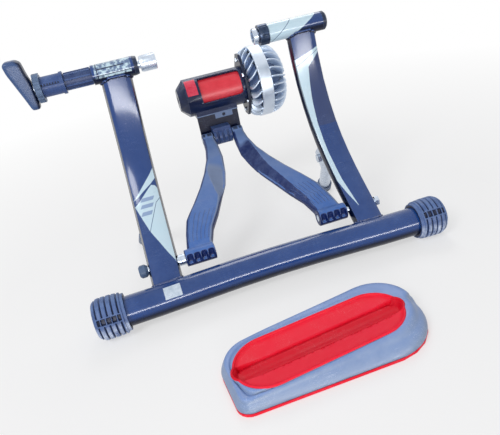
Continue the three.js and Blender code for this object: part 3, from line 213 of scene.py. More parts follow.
# scratches: thin broken lines in two directions
fine_scratches, given, out = shader_group("fine_scratches", "Mask", Size=0.03, Amount=0.5)
lines = []
for turn, stretch in ((0.6, (1.0, 14.0, 14.0)), (-1.0, (12.0, 1.0, 12.0))):
    sockets = {"Vector": place_on(fine_scratches), "Rotation": (0.3, turn, turn), "Scale": stretch}
    turned = node(fine_scratches, "Mapping", sockets).outputs[0]
    ridge = maths("SUBTRACT", noise(fine_scratches, given["Size"], 2.0, place=turned), 0.5)
    lines.append(ramp(maths("ABSOLUTE", ridge), 0.006, 0.0))
gate = ramp(noise(fine_scratches, given["Size"], 1.0), 0.5, 0.62)
both = maths("MAXIMUM", *lines)
fine_scratches.links.new(times(both, gate, given["Amount"]), out)


def colour(red, green, blue):
    # a colour as it is seen, 0 to 255, turned to the linear light that the shaders take
    steps = [c / 255 for c in (red, green, blue)]
    return tuple(c / 12.92 if c <= 0.04045 else ((c + 0.055) / 1.055) ** 2.4 for c in steps) + (1.0,)


def mixed(part, *tones):
    # one colour over another; each is a socket, or three numbers as they are seen
    first, second = [colour(*tone) if isinstance(tone, tuple) else tone for tone in tones]
    return node(part.id_data, "Mix", {0: part, 6: first, 7: second}, data_type="RGBA").outputs[2]


def two_tone(name, size, contrast, dark, pale):
    made, tree = new_material(name)
    tone = fill(tree, tone_patches, Size=size, Contrast=contrast)
    return made, tree, tone, mixed(tone, dark, pale)


def between(value, low, high):
    return ramp(value, 0, 1, low, high)


def finish_surface(tree, base, roughness, grain, depth, rounding, **others):
    rounded = node(tree, "Bevel", {"Radius": rounding}, samples=4).outputs["Normal"]
    height = fill(tree, surface_grain, Size=grain[0], Roughness=grain[1])
    bump = node(tree, "Bump", {"Height": height, "Distance": depth, "Strength": 1.0, "Normal": rounded})
    sockets = {"Base Color": base, "Roughness": roughness, "Normal": bump.outputs[0]}
    sockets.update({name.replace("_", " "): value for name, value in others.items()})
    shader = node(tree, "BsdfPrincipled", sockets)
    node(tree, "OutputMaterial", {"Surface": shader.outputs[0]})


def gloss_paint(name, decals=None):
    # painted shade: the paint is darkened on its sides and near black underneath, and its clear coat is
    # thinner underneath
    made, tree, _, base = two_tone(name, 0.12, 0.9, (3, 46, 104), (8, 66, 140))
    x, _, z = facing(tree)
    aside = ramp(maths("ABSOLUTE", x), 0.55, 0.85)
    below = ramp(z, 0.02, -0.3)
    base = mixed(maths("MAXIMUM", aside, below), base, (2, 14, 44))
    if decals:
        base = decals(tree, base)
    base = mixed(fill(tree, edge_wear, Width=0.0012, Amount=0.6, Breakup=0.007), base, (120, 128, 146))
    dust = fill(tree, dust_film, Amount=0.1, Drift=0.03)
    base = mixed(dust, base, (130, 154, 196))
    marks = fill(tree, fine_scratches, Size=0.05, Amount=0.35)
    base = mixed(marks, base, (110, 134, 180))
    rough = maths("MULTIPLY_ADD", dust, 0.5, 0.24)
    rough = maths("MULTIPLY_ADD", marks, 0.2, rough)
    finish_surface(tree, base, rough, (0.0022, 0.4), 0.00003, 0.0008, Specular_IOR_Level=0.2,
                   Coat_Weight=between(below, 0.75, 0.1), Coat_Roughness=0.12)
    return made


# rounded shading: joins the doubled corners of a CAD node and keeps only its real edges sharp
rounded_shading = bpy.data.node_groups.new("rounded_shading", "GeometryNodeTree")
rounded_shading.interface.new_socket("Geometry", in_out="INPUT", socket_type="NodeSocketGeometry")
angle_socket = rounded_shading.interface.new_socket("Angle", in_out="INPUT", socket_type="NodeSocketFloat")
rounded_shading.interface.new_socket("Geometry", in_out="OUTPUT", socket_type="NodeSocketGeometry")
came = rounded_shading.nodes.new("NodeGroupInput").outputs
bare = node(rounded_shading, "GeometryNodeRemoveAttribute", {"Geometry": came["Geometry"],
                                                             "Name": "custom_normal"})
joined = node(rounded_shading, "GeometryNodeMergeByDistance", {"Geometry": bare.outputs["Geometry"],
                                                               "Distance": 0.01 * mm})
bend = node(rounded_shading, "GeometryNodeInputMeshEdgeAngle").outputs["Unsigned Angle"]
soft = node(rounded_shading, "FunctionNodeCompare", {0: bend, 1: came["Angle"]}, operation="LESS_EQUAL")
shaded = joined.outputs["Geometry"]
for domain, smooth in (("FACE", True), ("EDGE", soft.outputs[0])):
    shaded = node(rounded_shading, "GeometryNodeSetShadeSmooth", {"Geometry": shaded, "Shade Smooth": smooth},
                  domain=domain).outputs[0]
rounded_shading.links.new(shaded, rounded_shading.nodes.new("NodeGroupOutput").inputs[0])


def dress(material, *names, angle=35):
    for name in names:
        shading = cad[name].modifiers.new("rounded_shading", "NODES")
        shading.node_group = rounded_shading
        shading[angle_socket.identifier] = math.radians(angle)
        for slot in cad[name].material_slots:
            slot.material = material


def surface_of(name):
    mesh = (cad[name] if name in cad else bpy.data.objects[name]).data
    return BVHTree.FromPolygons([v.co.copy() for v in mesh.vertices], [p.vertices[:] for p in mesh.polygons])


def new_piece(name, points, faces, material, body, slot, smooth=True):
    mesh = bpy.data.meshes.new(name)
    mesh.from_pydata(points, [], faces)
    mesh.update()
    piece = bpy.data.objects.new(name, mesh)
    bpy.context.scene.collection.objects.link(piece)
    mesh.materials.append(material)
    for face in mesh.polygons:
        face.use_smooth = smooth
    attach(piece, body)
    return piece


def quads(rows, wide, closed=True, loop=False, first=0):
    # the faces between rows of points; closed joins a row's ends, loop the last row to the first
    faces = []
    for j in range(rows if loop else rows - 1):
        a, b = first + j * wide, first + (j + 1) % rows * wide
        for k in range(wide if closed else wide - 1):
            n = (k + 1) % wide
            faces.append((a + k, a + n, b + n, b + k))
    return faces


def sides_of(ring):
    return zip(ring, ring[1:] + ring[:1])


def bead(name, path, normals, radius, material, body, slot, closed=True, ripple=0.0):
    # a round bead that follows a path; ripple gives the scales of a weld
    points, count, sides, scale_turn = [], len(path), 8, 2.1
    for k, spot in enumerate(path):
        before = path[k - 1] if closed or k else spot
        after = path[(k + 1) % count] if closed or k < count - 1 else spot
        along = (after - before).normalized()
        out = (normals[k] - along * normals[k].dot(along)).normalized()
        side = along.cross(out)
        size = radius * (1 + ripple * math.sin(k * scale_turn))
        for s in range(sides):
            turn = math.tau * s / sides
            points.append(spot + (out * math.sin(turn) + side * math.cos(turn)) * size)
    faces = quads(count, sides, loop=closed)
    if not closed:
        faces.append(tuple(reversed(range(sides))))
        faces.append(tuple((count - 1) * sides + s for s in range(sides)))
    return new_piece(name, points, faces, material, body, slot)


def seam_between(first, second, gap=0.6 * mm, count=96):
    # the corner points of one node that lie against another, in order, evenly spaced
    other = surface_of(second)
    found = {}
    for v in cad[first].data.vertices:
        near = other.find_nearest(v.co)
        if near[0] is not None and near[3] < gap:
            found[tuple(round(c, 5) for c in v.co)] = (v.co.copy(), near[1])
    middle = sum((spot for spot, _ in found.values()), Vector()) / len(found)
    lift = sum((normal for _, normal in found.values()), Vector()).normalized()
    across = lift.orthogonal().normalized()
    third = lift.cross(across)
    outermost = {}
    for spot, normal in found.values():
        turn = math.atan2((spot - middle).dot(third), (spot - middle).dot(across))
        degree, reach = round(math.degrees(turn)), (spot - middle).length
        if degree not in outermost or reach > outermost[degree][2]:
            outermost[degree] = (spot, normal, reach)
    ring = [outermost[degree] for degree in sorted(outermost)]
    lengths = [0.0]
    for a, b in sides_of(ring):
        lengths.append(lengths[-1] + (b[0] - a[0]).length)
    path, normals = [], []
    for k in range(count):
        want = lengths[-1] * k / count
        low = max(i for i in range(len(ring)) if lengths[i] <= want)
        share = (want - lengths[low]) / max(lengths[low + 1] - lengths[low], 1e-9)
        a, b = ring[low], ring[(low + 1) % len(ring)]
        path.append(a[0].lerp(b[0], share))
        normals.append(a[1].lerp(b[1], share).normalized())
    return path, normals


navy_paint = gloss_paint("navy_paint")
dress(navy_paint, "base_tube")

weld_paint, tree, tone, base = two_tone("painted_weld", 0.012, 1.6, (26, 44, 96), (60, 82, 134))
finish_surface(tree, base, between(tone, 0.25, 0.45), (0.0016, 0.6), 0.0001, 0.0003, Coat_Weight=0.6,
               Coat_Roughness=0.15)
for side in ("left", "right"):
    path, normals = seam_between("upright_" + side, "base_tube")
    bead("weld_foot_" + side, path, normals, 2.1 * mm, weld_paint, "frame", "navy", ripple=0.12)


def label_print(name, size, contrast, dark, pale, **others):
    made, tree, tone, base = two_tone(name, size, contrast, dark, pale)
    finish_surface(tree, base, between(tone, 0.4, 0.55), (0.0008, 0.5), 0.00002, 0.0002, **others)
    return made


def patch(name, node_name, corners, steps, thick, material, body, slot, bow=(0, 0, 0)):
    # a thin sheet laid on a node: corners are four points close over the surface
    ground = surface_of(node_name)
    a, b, c, d = [Vector(p) for p in corners]
    across, up = steps
    top, low = [], []
    for j in range(up + 1):
        for i in range(across + 1):
            u, v = i / across, j / up
            spot = a.lerp(b, u).lerp(d.lerp(c, u), v) + Vector(bow) * (4 * v * (1 - v))
            near, normal, _, _ = ground.find_nearest(spot)
            top.append(near + normal * thick)
            low.append(near - normal * thick * 0.5)
    wide, total = across + 1, len(top)
    upper = quads(up + 1, wide, closed=False)
    lower = [tuple(total + k for k in reversed(quad)) for quad in upper]
    rim = list(range(wide)) + [j * wide + across for j in range(1, up + 1)]
    rim += [up * wide + i for i in reversed(range(across))] + [j * wide for j in reversed(range(1, up))]
    walls = [(q, p, total + p, total + q) for p, q in sides_of(rim)]
    return new_piece(name, top + low, upper + lower + walls, material, body, slot, smooth=False)


# the label is a plain printed square that follows the tube
pale_print = label_print("pale_label", 0.006, 2.0, (214, 226, 238), (168, 186, 204))
patch("tube_label", "base_tube", [(-0.180, -0.0875, 0.046), (-0.152, -0.0860, 0.046),
                                  (-0.152, -0.0680, 0.0590), (-0.180, -0.0700, 0.0590)],
      (6, 10), 0.15 * mm, pale_print, "frame", "navy")


# Rubber feet. Moulded caps pushed over the tube ends, with turned grooves, square pockets between
# two bars, and a flat to stand on. The ribs are dusty, a painted highlight lies pale low on their crests, and
# painted shade darkens the grooves.
def ease(value, low, high):
    t = min(max((value - low) / (high - low), 0.0), 1.0)
    return t * t * (3 - 2 * t)


cap_height, cap_sides, cap_length = 34.2, 180, 52
cap_left, cap_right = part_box("foot_left"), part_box("foot_right")
cap_centre = Vector(((cap_left[0].x + cap_right[1].x) / 2, (cap_left[0].y + cap_left[1].y) / 2,
                     cap_height * mm))
cap_end = (cap_right[1].x - cap_left[0].x) / 2


def cap_radius(x):
    # the cap's outline: round at its outer end, a little narrower towards the collar
    outline = 34.6 - 9.0 * (1 - ease(x, -6, 15)) ** 1.5 - 1.1 * ease(x, 30, 46) - 2.6 * ease(x, 46.2, 47.2)
    return outline - (3.2 - math.sqrt(9.0 - (3 - x) ** 2) * 3.2 / 3 if x < 3 else 0)


def curve_through(value, marks, handles=None):
    made = node(value.id_data, "FloatCurve", {"Value": value})
    points = made.mapping.curves[0].points
    points[0].location, points[-1].location = marks[0], marks[-1]
    for at, level in marks[1:-1]:
        points.new(at, level)
    if handles:
        for point in points:
            point.handle_type = handles
    made.mapping.update()
    return made.outputs[0]


def spot_on(tree):
    return node(tree, "SeparateXYZ", {0: place_on(tree)}).outputs


def off_axis(tree, centre):
    # the distance from an axis that runs along x
    away = vectors("SUBTRACT", place_on(tree), centre)
    return vectors("LENGTH", vectors("MULTIPLY", away, (0, 1, 1)))


def groove_shade_and_glare(tree, base):
    # painted shade darkens wherever the cap lies deeper than its outline
    x, _, z = spot_on(tree)
    off = maths("ABSOLUTE", maths("SUBTRACT", x, cap_centre.x))
    share = ramp(off, cap_end, cap_end - cap_length * mm)
    scale = 40
    marks = [(at, cap_radius(cap_length * at) / scale)
             for at in (0, 0.01, 0.025, 0.05, 0.1, 0.15, 0.2, 0.3, 0.4, 0.6, 0.75, 0.88, 0.92, 1)]
    outline = maths("MULTIPLY", curve_through(share, marks), scale * mm)
    depth = maths("SUBTRACT", outline, off_axis(tree, cap_centre))
    groove_shade = ramp(depth, 0.7 * mm, 2.8 * mm)
    groove_shade = times(groove_shade, ramp(off, cap_end - 1 * mm, cap_end - 2.5 * mm))
    # painted highlight: the lower front of the ribs' crests is painted pale, as glare
    low, crest = ramp(z, 40 * mm, 30 * mm), ramp(depth, 0.5 * mm, 0.1 * mm)
    rib_glare = times(low, crest, fill(tree, tone_patches, Size=0.01, Contrast=2.6))
    return mixed(groove_shade, mixed(rib_glare, base, (204, 216, 238)), (15, 28, 62))


def soft_rubber(name, dark, pale, amount, groove_shading=None):
    made, tree, tone, base = two_tone(name, 0.015, 1.5, dark, pale)
    base = mixed(fill(tree, edge_wear, Width=0.0015, Amount=amount, Breakup=0.005), base, (150, 172, 206))
    base = mixed(fill(tree, dust_film, Amount=amount, Drift=0.012), base, (122, 148, 192))
    if groove_shading:
        base = groove_shading(tree, base)
    finish_surface(tree, base, between(tone, 0.42, 0.6), (0.0007, 0.7), 0.00005, 0.0004)
    return made


foot_rubber = soft_rubber("foot_rubber", (48, 74, 124), (80, 108, 164), 0.6, groove_shade_and_glare)
plain_rubber = soft_rubber("plain_rubber", (92, 104, 128), (118, 130, 154), 0.4)


def woven(rings, closed=True, flip=False):
    # points and faces over a row of rings; flip turns the faces round
    points, faces = [spot for ring in rings for spot in ring], quads(len(rings), len(rings[0]), closed)
    return points, [face[:1] + face[:0:-1] for face in faces] if flip else faces


def moulded_foot(name, node_name, outward, bar_angles):
    # the cap as a turned body: grooves run out towards the top, pockets lie between the two bars
    low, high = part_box(node_name)
    middle, long = (low.y + high.y) / 2 / mm, (high.x - low.x) / mm
    end = (high.x if outward > 0 else low.x) / mm
    grooves, rib_offset, groove_depth, bar_rise = (7.0, 15.8, 24.6, 33.4, 42.0), 4.4, 3.4, 0.3
    pocket_share, taper, top_of_taper = 1.7, 0.55, 112
    pitch, bore, inset, floor_gap = 0.65, 25.4, 0.2, 0.1
    turns = [math.tau * k / cap_sides for k in range(cap_sides)]

    def reach(x, degrees):
        near = min(abs((degrees - angle + 180) % 360 - 180) for angle in bar_angles)
        bar = 1 - ease(near, 1.5, 2.6)
        if bar_angles[0] < degrees < bar_angles[1]:
            rib = max(1 - ease(abs(x - (at + rib_offset)), 0.6, 1.3) for at in grooves[:-1])
            cut = ease(x, 5.6, 6.4) * (1 - ease(x, 43.0, 43.8)) * (1 - rib) * pocket_share
        else:
            cut = max(1 - ease(abs(x - at), 0.7, 1.5) for at in grooves)
            cut *= 1 - taper * ease(degrees if degrees < 180 else 0, bar_angles[1] + 10, top_of_taper)
        raised = bar_rise * bar * ease(x, 6, 8) * (1 - ease(x, 42, 44))
        return cap_radius(x) - groove_depth * cut * (1 - bar) + raised

    def ring(x, radii):
        return [Vector((end - outward * x, middle - r * math.cos(turn),
                        max(cap_height + r * math.sin(turn), floor_gap))) * mm
                for r, turn in zip(radii, turns)]

    stations = {round(pitch * k, 2) for k in range(6, int(long / pitch))} | {0.0, 0.4, 1.0, 2.0, 3.0, long}
    rings = [ring(x, [reach(x, math.degrees(turn)) for turn in turns]) for x in sorted(stations)]
    rings.append(ring(long - inset, [bore] * cap_sides))
    points, faces = woven(rings)
    faces += [(len(points), (k + 1) % cap_sides, k) for k in range(cap_sides)]
    points.append(Vector((end, middle, cap_height)) * mm)
    if outward > 0:
        faces = [face[::-1] for face in faces]
    piece = new_piece(name, points, faces, foot_rubber, "frame", "rubber")
    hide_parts(node_name)


moulded_foot("foot_cap_left", "foot_left", -1, (12.0, 33.0))
moulded_foot("foot_cap_right", "foot_right", 1, (27.0, 48.0))


# Uprights. Flat-oval steel tubes, bent forward at the foot, in the same paint. Pale blue film
# flashes are stuck on their front faces before a clear coat goes over all.
blur = 0.3 * mm


def inside(tree, corners):
    # a mask with a clean edge for a convex outline seen from the front; corners go clockwise
    x, _, z = spot_on(tree)
    reach = None
    for (x1, z1), (x2, z2) in sides_of(corners):
        length = math.hypot(x2 - x1, z2 - z1)
        a, b = (z2 - z1) / length, -(x2 - x1) / length
        part = maths("MULTIPLY_ADD", x, a, -(a * x1 + b * z1) * mm)
        part = maths("MULTIPLY_ADD", z, b, part)
        reach = part if reach is None else maths("MINIMUM", reach, part)
    return ramp(reach, -blur, blur)


def stroke(tree, start, end, width):
    (x1, z1), (x2, z2) = start, end
    length = math.hypot(x2 - x1, z2 - z1)
    u, w = (x2 - x1) / length * width / 2, (z2 - z1) / length * width / 2
    return inside(tree, [(x1 - w, z1 + u), (x2 - w, z2 + u), (x2 + w, z2 - u), (x1 + w, z1 - u)])


def facing_front(tree):
    return ramp(facing(tree)["Y"], -0.30, -0.42)


def most(first, *others):
    for other in others:
        first = maths("MAXIMUM", first, other)
    return first


def worn_film(tree):
    return mixed(fill(tree, tone_patches, Size=0.03, Contrast=1.0), (186, 216, 232), (212, 232, 242))


def left_flashes(tree, base):
    front, line_width = facing_front(tree), 0.9
    shard = inside(tree, [(-187, 152), (-150, 178), (-144, 175), (-139, 166), (-138.5, 106), (-139.5, 92),
                          (-142, 81), (-144.5, 77), (-147, 77.5), (-174, 119)])
    slit = inside(tree, [(-187, 160), (-139, 201), (-139, 186)])
    base = mixed(times(most(shard, slit), front), base, worn_film(tree))
    bars = [inside(tree, [(left - 2, low), (left + 2, low + 5), (right + 2, low + 5), (right - 2, low)])
            for low, left, right in ((157.5, -174, -152), (148.5, -177, -156), (139.0, -179, -161))]
    base = mixed(times(most(*bars), front), base, (140, 164, 200))
    line = most(stroke(tree, (-138, 158), (-150, 152.5), line_width),
                stroke(tree, (-150, 152.8), (-174, 118), line_width))
    return mixed(times(line, front), base, (58, 84, 128))


def right_flashes(tree, base):
    x, _, z = spot_on(tree)
    front, line_width = facing_front(tree), 0.9
    start, span = 140, 90

    def border(marks):
        # an edge of the leaf, through marks of height and place across
        low, high = marks[0][0], marks[-1][0]
        shares = [((level - low) / (high - low), (at - start) / span) for level, at in marks]
        bent = curve_through(ramp(z, low * mm, high * mm), shares, "VECTOR")
        return maths("MULTIPLY_ADD", bent, span * mm, start * mm)

    inner = border([(78, 183.5), (115, 175.5), (159, 172), (200, 171), (248, 173), (297.5, 178), (324, 206),
                    (333, 216)])
    outer = border([(78, 183), (95, 174), (115, 166), (159, 157.5), (206, 150), (330, 146)])
    reach = maths("MINIMUM", maths("SUBTRACT", inner, x), maths("SUBTRACT", x, outer))
    below = inside(tree, [(140, 307.7), (220, 335.6), (220, 78), (140, 78)])
    film = times(ramp(reach, -blur, blur), below, front)
    base = mixed(film, base, worn_film(tree))
    panel = inside(tree, [(150, 296), (196, 322), (212, 322), (212, 196), (150, 196)])
    dusky = times(panel, front, between(film, 1.0, 0.0), 0.6)
    base = mixed(dusky, base, (44, 54, 92))
    line = stroke(tree, (148, 297.5), (206, 326.5), line_width)
    return mixed(times(line, front, film), base, (48, 78, 124))


dress(gloss_paint("left_upright_paint", left_flashes), "upright_left")
dress(gloss_paint("right_upright_paint", right_flashes), "upright_right")

# Clamp tubes. Short thick tubes welded across the tops of the uprights and painted with them. The
# left one guides the screw under a worn film, the right one carries the fixed cup.
for side in ("left", "right"):
    path, normals = seam_between("upright_" + side, "clamp_tube_" + side)
    bead("weld_top_" + side, path, normals, 2.6 * mm, navy_paint, "frame", "steel", ripple=0.16)


def left_clamp_film(tree, base):
    body = inside(tree, [(-186, 362), (-184, 390), (-124, 390), (-126, 362)])
    scuffs = fill(tree, tone_patches, Size=0.006, Contrast=8.0)
    base = mixed(times(body, between(scuffs, 0.2, 1.0)), base, (200, 226, 238))
    rules = [stroke(tree, start, end, width)
             for start, end, width in (((-184, 366), (-126, 366), 1.2), ((-180, 376), (-136, 376), 1.6),
                                       ((-181, 384), (-181, 362), 1.6))]
    return mixed(most(*rules), base, (18, 32, 64))


def right_clamp_film(tree, base):
    film = inside(tree, [(100, 340), (100, 395), (228, 395), (130.5, 340)])
    base = mixed(film, base, worn_film(tree))
    return mixed(stroke(tree, (164, 386), (112, 347), 0.9), base, (56, 84, 128))


dress(gloss_paint("left_clamp_paint", left_clamp_film), "clamp_tube_left")
dress(gloss_paint("right_clamp_paint", right_clamp_film), "clamp_tube_right")


# Screw, sleeves and cups. The plated screw runs in a ribbed sleeve and a sleeve with printed
# marks; the cups at both inner ends take the hub. A dark ring locks the right-hand cup.
def plated_steel(name, dark, pale, rough):
    made, tree, tone, base = two_tone(name, 0.008, 1.5, dark, pale)
    base = mixed(fill(tree, fine_scratches, Size=0.012, Amount=0.6), base, (230, 238, 246))
    rough = between(tone, rough - 0.06, rough + 0.1)
    finish_surface(tree, base, rough, (0.0006, 0.5), 0.00002, 0.0004, Metallic=1.0)
    return made


bright_steel = plated_steel("bright_steel", (168, 180, 198), (222, 232, 244), 0.26)
dark_steel = plated_steel("dark_steel", (40, 50, 70), (70, 84, 110), 0.32)
dress(bright_steel, "spindle", "cup_left", "cup_right", "pivot_nut", "pivot_spacer", "pivot_pin_left",
      "pivot_pin_right", "hinge_pin", "roller_shaft", "plate_screw_1", "plate_screw_2", "plate_screw_3",
      "plate_screw_4", "leg_left_bolt", "leg_right_bolt")
dress(dark_steel, "lock_ring_right")


def moulded_plastic(name, dark, pale, shine, print_on=None, dusty=0.25, film=(118, 140, 178)):
    made, tree, _, base = two_tone(name, 0.03, 1.4, dark, pale)
    if print_on:
        base = print_on(tree, base)
    base = mixed(fill(tree, edge_wear, Width=0.0012, Amount=0.55, Breakup=0.004), base, (124, 148, 188))
    dust = fill(tree, dust_film, Amount=dusty, Drift=0.015)
    base = mixed(dust, base, film)
    base = mixed(fill(tree, fine_scratches, Size=0.03, Amount=0.4), base, (150, 170, 200))
    rough = maths("MULTIPLY_ADD", dust, 0.3, shine)
    finish_surface(tree, base, rough, (0.0009, 0.6), 0.000012, 0.0007, Specular_IOR_Level=0.28)
    return made


def printed_marks(tree, base):
    # a printed rule along the sleeve, with teeth on its upper side
    x = spot_on(tree)["X"]
    teeth_per_metre, left, right = 227.0, -280, -236
    tooth = maths("FRACT", maths("MULTIPLY", x, teeth_per_metre))
    teeth = times(ramp(tooth, 0.45, 0.55), stroke(tree, (left, 372.4), (right, 372.4), 2.8))
    marks = most(stroke(tree, (left, 370.8), (right, 370.8), 0.9), teeth)
    marks = times(marks, facing_front(tree), ramp(x, -0.2425, -0.2430))
    return mixed(marks, base, (16, 24, 46))


def rib_shadow(tree, base):
    # painted shadow: the valleys between the ribs are painted dark
    crest = ramp(off_axis(tree, (0, 0.134654, 0.367)), 12.6 * mm, 14.0 * mm)
    return mixed(crest, (20, 36, 78), base)


sleeve_plastic = moulded_plastic("sleeve_plastic", (44, 66, 116), (66, 92, 146), 0.34, printed_marks)
ribbed_plastic = moulded_plastic("ribbed_plastic", (52, 72, 122), (74, 98, 150), 0.36, rib_shadow)
ring_plastic = moulded_plastic("ring_plastic", (70, 90, 120), (104, 126, 158), 0.4)
black_plastic = moulded_plastic("black_plastic", (20, 28, 48), (38, 50, 78), 0.36)
dress(sleeve_plastic, "scale_sleeve")
dress(ribbed_plastic, "ribbed_sleeve")
dress(ring_plastic, "preset_ring", "pivot_knob")
dress(black_plastic, "clamp_bush_left", "end_cap_right")


# Handle. A moulded lever with a thick head and a long tail, keyed to the end of the screw. Its
# front face is polished by hands; painted shade darkens its side that faces right.
def handle_side_shade(tree, base):
    # painted shade: faces turned to the right are painted dark
    return mixed(ramp(facing(tree)["X"], 0.1, 0.45), base, (16, 30, 62))


def moulded_copy(name, node_name, voxel, rounds, material, body, slot, shape=None):
    # the node's own form, remeshed finely so that its corners can be rounded as a moulding's are
    rough = bpy.data.objects.new(name + "_rough", cad[node_name].data.copy())
    bpy.context.scene.collection.objects.link(rough)
    remesh = rough.modifiers.new("remesh", "REMESH")
    remesh.mode = "VOXEL"
    remesh.voxel_size = voxel
    view = bpy.context.evaluated_depsgraph_get()
    mesh = bpy.data.meshes.new_from_object(rough.evaluated_get(view))
    bpy.data.objects.remove(rough)
    work = bmesh.new()
    work.from_mesh(mesh)
    if shape:
        for v in work.verts:
            v.co = shape(v.co)
    for _ in range(rounds):
        bmesh.ops.smooth_vert(work, verts=work.verts, factor=0.5, use_axis_x=True, use_axis_y=True,
                              use_axis_z=True)
    points = [v.co.copy() for v in work.verts]
    faces = [tuple(v.index for v in face.verts) for face in work.faces]
    work.free()
    bpy.data.meshes.remove(mesh)
    piece = new_piece(name, points, faces, material, body, slot)
    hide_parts(node_name)


handle_plastic = moulded_plastic("handle_plastic", (48, 70, 112), (70, 96, 142), 0.3, handle_side_shade)
moulded_copy("lever", "clamp_handle", 1.5 * mm, 14, handle_plastic, "handle", "black_plastic")


# Arms. Two glass-filled nylon arms, S-shaped in plan, that swing on pins at the feet of the
# uprights and meet at a comb hinge under the unit. A fold crosses each top, flow ribs end it.
def arm_painted_light(tree, base):
    # painted light: the tops, except where they turn left, are painted lighter, bluer towards the foot and
    # greyer where they turn right; the sides keep the dark plastic colour as painted shade
    z, normal = spot_on(tree)["Z"], facing(tree)
    top = times(ramp(normal["Z"], 0.25, 0.7), ramp(normal["X"], -0.34, -0.2))
    lit_top_colour = mixed(ramp(z, 0.17, 0.08), (96, 122, 172), (62, 104, 176))
    lit_top_colour = mixed(ramp(normal["X"], 0.16, 0.3), lit_top_colour, (124, 140, 172))
    return mixed(top, base, lit_top_colour)


arm_plastic = moulded_plastic("arm_plastic", (8, 26, 78), (18, 44, 106), 0.34, arm_painted_light, 0.22,
                              (136, 158, 196))
dress(moulded_plastic("comb_plastic", (36, 56, 104), (60, 86, 140), 0.34), "hinge_comb")
arm_reach = {"left": (-0.135, 0.0), "right": (0.03, 0.165)}


def drop_on(ground, x, y, z=0.6):
    spot, normal, _, _ = ground.ray_cast(Vector((x, y, z)), Vector((0, 0, -1)))
    return spot, normal


def top_span(ground, y, low, high):
    # where the arm's top begins and ends across, at one place along it
    found, tries, level = [], 120, 0.55
    for k in range(tries + 1):
        x = low + (high - low) * k / tries
        spot, normal = drop_on(ground, x, y)
        if spot is not None and normal.z > level:
            found.append(x)
    return (min(found), max(found)) if found else None


def fold_share(marks, y):
    for (y1, p1), (y2, p2) in zip(marks, marks[1:]):
        if y2 <= y <= y1:
            return p1 + (p2 - p1) * (y1 - y) / (y1 - y2)
    return None


def folded_arm(side, fold, sink_left, sink_right):
    # one side of the fold falls away from the ridge; the fold crosses the arm from end to end
    ground = surface_of("arm_" + side)
    far_row, row_step, row_count, edge, fade, least = 0.205, 0.0035, 60, 0.8 * mm, 0.03, 4 * mm
    deepest = 0.72
    spans = [top_span(ground, round(far_row - row_step * k, 4), *arm_reach[side]) for k in range(row_count)]

    def shape(spot):
        row = (far_row - spot.y) / row_step
        k = math.floor(row)
        share = fold_share(fold, spot.y)
        if k < 0 or k >= row_count - 1 or spans[k] is None or spans[k + 1] is None or share is None:
            return spot
        first, last = (a + (b - a) * (row - k) for a, b in zip(spans[k], spans[k + 1]))
        width = max(last - first, 1 * mm)
        across = min(max((spot.x - first) / width, 0), 1)
        ends = ease(fold[0][0] - spot.y, 0, fade) * ease(spot.y - fold[-1][0], 0, fade)
        facet, sink = (share, sink_left) if across < share else (1 - share, sink_right)
        x = min(max(spot.x, first + edge), last - edge)
        top, _ = drop_on(ground, x, spot.y)
        under = drop_on(ground, x, spot.y, top.z - 1 * mm)[0] if top is not None else None
        if under is None or top.z - under.z < least:
            return spot
        thick = top.z - under.z
        steep = min(sink, thick * deepest / max(facet * width, 1 * mm))
        part = max(spot.z - under.z, 0) / thick
        fall = abs(share - across) * width * steep * ends
        return Vector((spot.x, spot.y, spot.z - fall * min(part, 1.0)))

    moulded_copy("arm_moulding_" + side, "arm_" + side, 1.3 * mm, 2, arm_plastic, "arms", "grey_plastic",
                 shape)


folded_arm("left", [(0.165, 0.0), (0.135, 0.1), (0.1, 0.5), (0.07, 0.9), (0.045, 1.0)], 0.06, 0.7)
folded_arm("right", [(0.2, 1.0), (0.155, 0.75), (0.12, 0.5), (0.08, 0.34), (0.04, 0.2), (-0.002, 0.08)],
           1.1, 0.06)


def flow_rib(name, ground, marks):
    path, normals, steps, radius, sunk, level = [], [], 12, 0.8 * mm, 0.45, 0.3
    for start, end in zip(marks, marks[1:]):
        for i in range(steps):
            x, y = [a + (b - a) * i / steps for a, b in zip(start, end)]
            spot, normal = drop_on(ground, x, y)
            if spot is not None and normal.z > level:
                path.append(spot - normal * radius * sunk)
                normals.append(normal)
    bead(name, path, normals, radius, arm_plastic, "arms", "grey_plastic", closed=False)


ribs, first_rib, rib_gap = 6, 0.1, 0.16
rows_from, row_step, row_count = 0.047, 0.0045, 12
for side in ("left", "right"):
    ground = surface_of("arm_moulding_" + side)
    ys = [rows_from - row_step * k for k in range(row_count)]
    rows = [(y, top_span(ground, y, *arm_reach[side])) for y in ys]
    for r in range(ribs):
        marks = [(span[0] + (span[1] - span[0]) * (first_rib + rib_gap * r), y) for y, span in rows if span]
        flow_rib("flow_rib_%s_%d" % (side, r + 1), ground, marks)
# the slots are dark sheets laid on the arm tops: painted shade where the slots' hollows would be
slot_near, slot_far, slot_half, slot_height = 0.2190, 0.2260, 0.0045, 0.19
for name, x in (("left_1", -0.0245), ("left_2", -0.0115), ("right_1", 0.0430), ("right_2", 0.0550)):
    arm = "arm_moulding_" + name[:-2]
    ground = surface_of(arm)
    spots = ((x - slot_half, slot_near), (x + slot_half, slot_near), (x + slot_half, slot_far),
             (x - slot_half, slot_far))
    corners = [drop_on(ground, *spot)[0] or (*spot, slot_height) for spot in spots]
    patch("arm_slot_shade_" + name, arm, corners, (4, 4), 0.2 * mm, black_plastic, "arms", "black_plastic")


# Resistance unit. A pressed steel bracket carries the black moulded housing; the red roller sleeve
# runs in its window, and a black plate closes its right end. The lug below is worn to a paler grey.
def housing_tints(tree, base):
    return mixed(ramp(spot_on(tree)["Z"], 227.5 * mm, 226.5 * mm), base, (112, 132, 168))


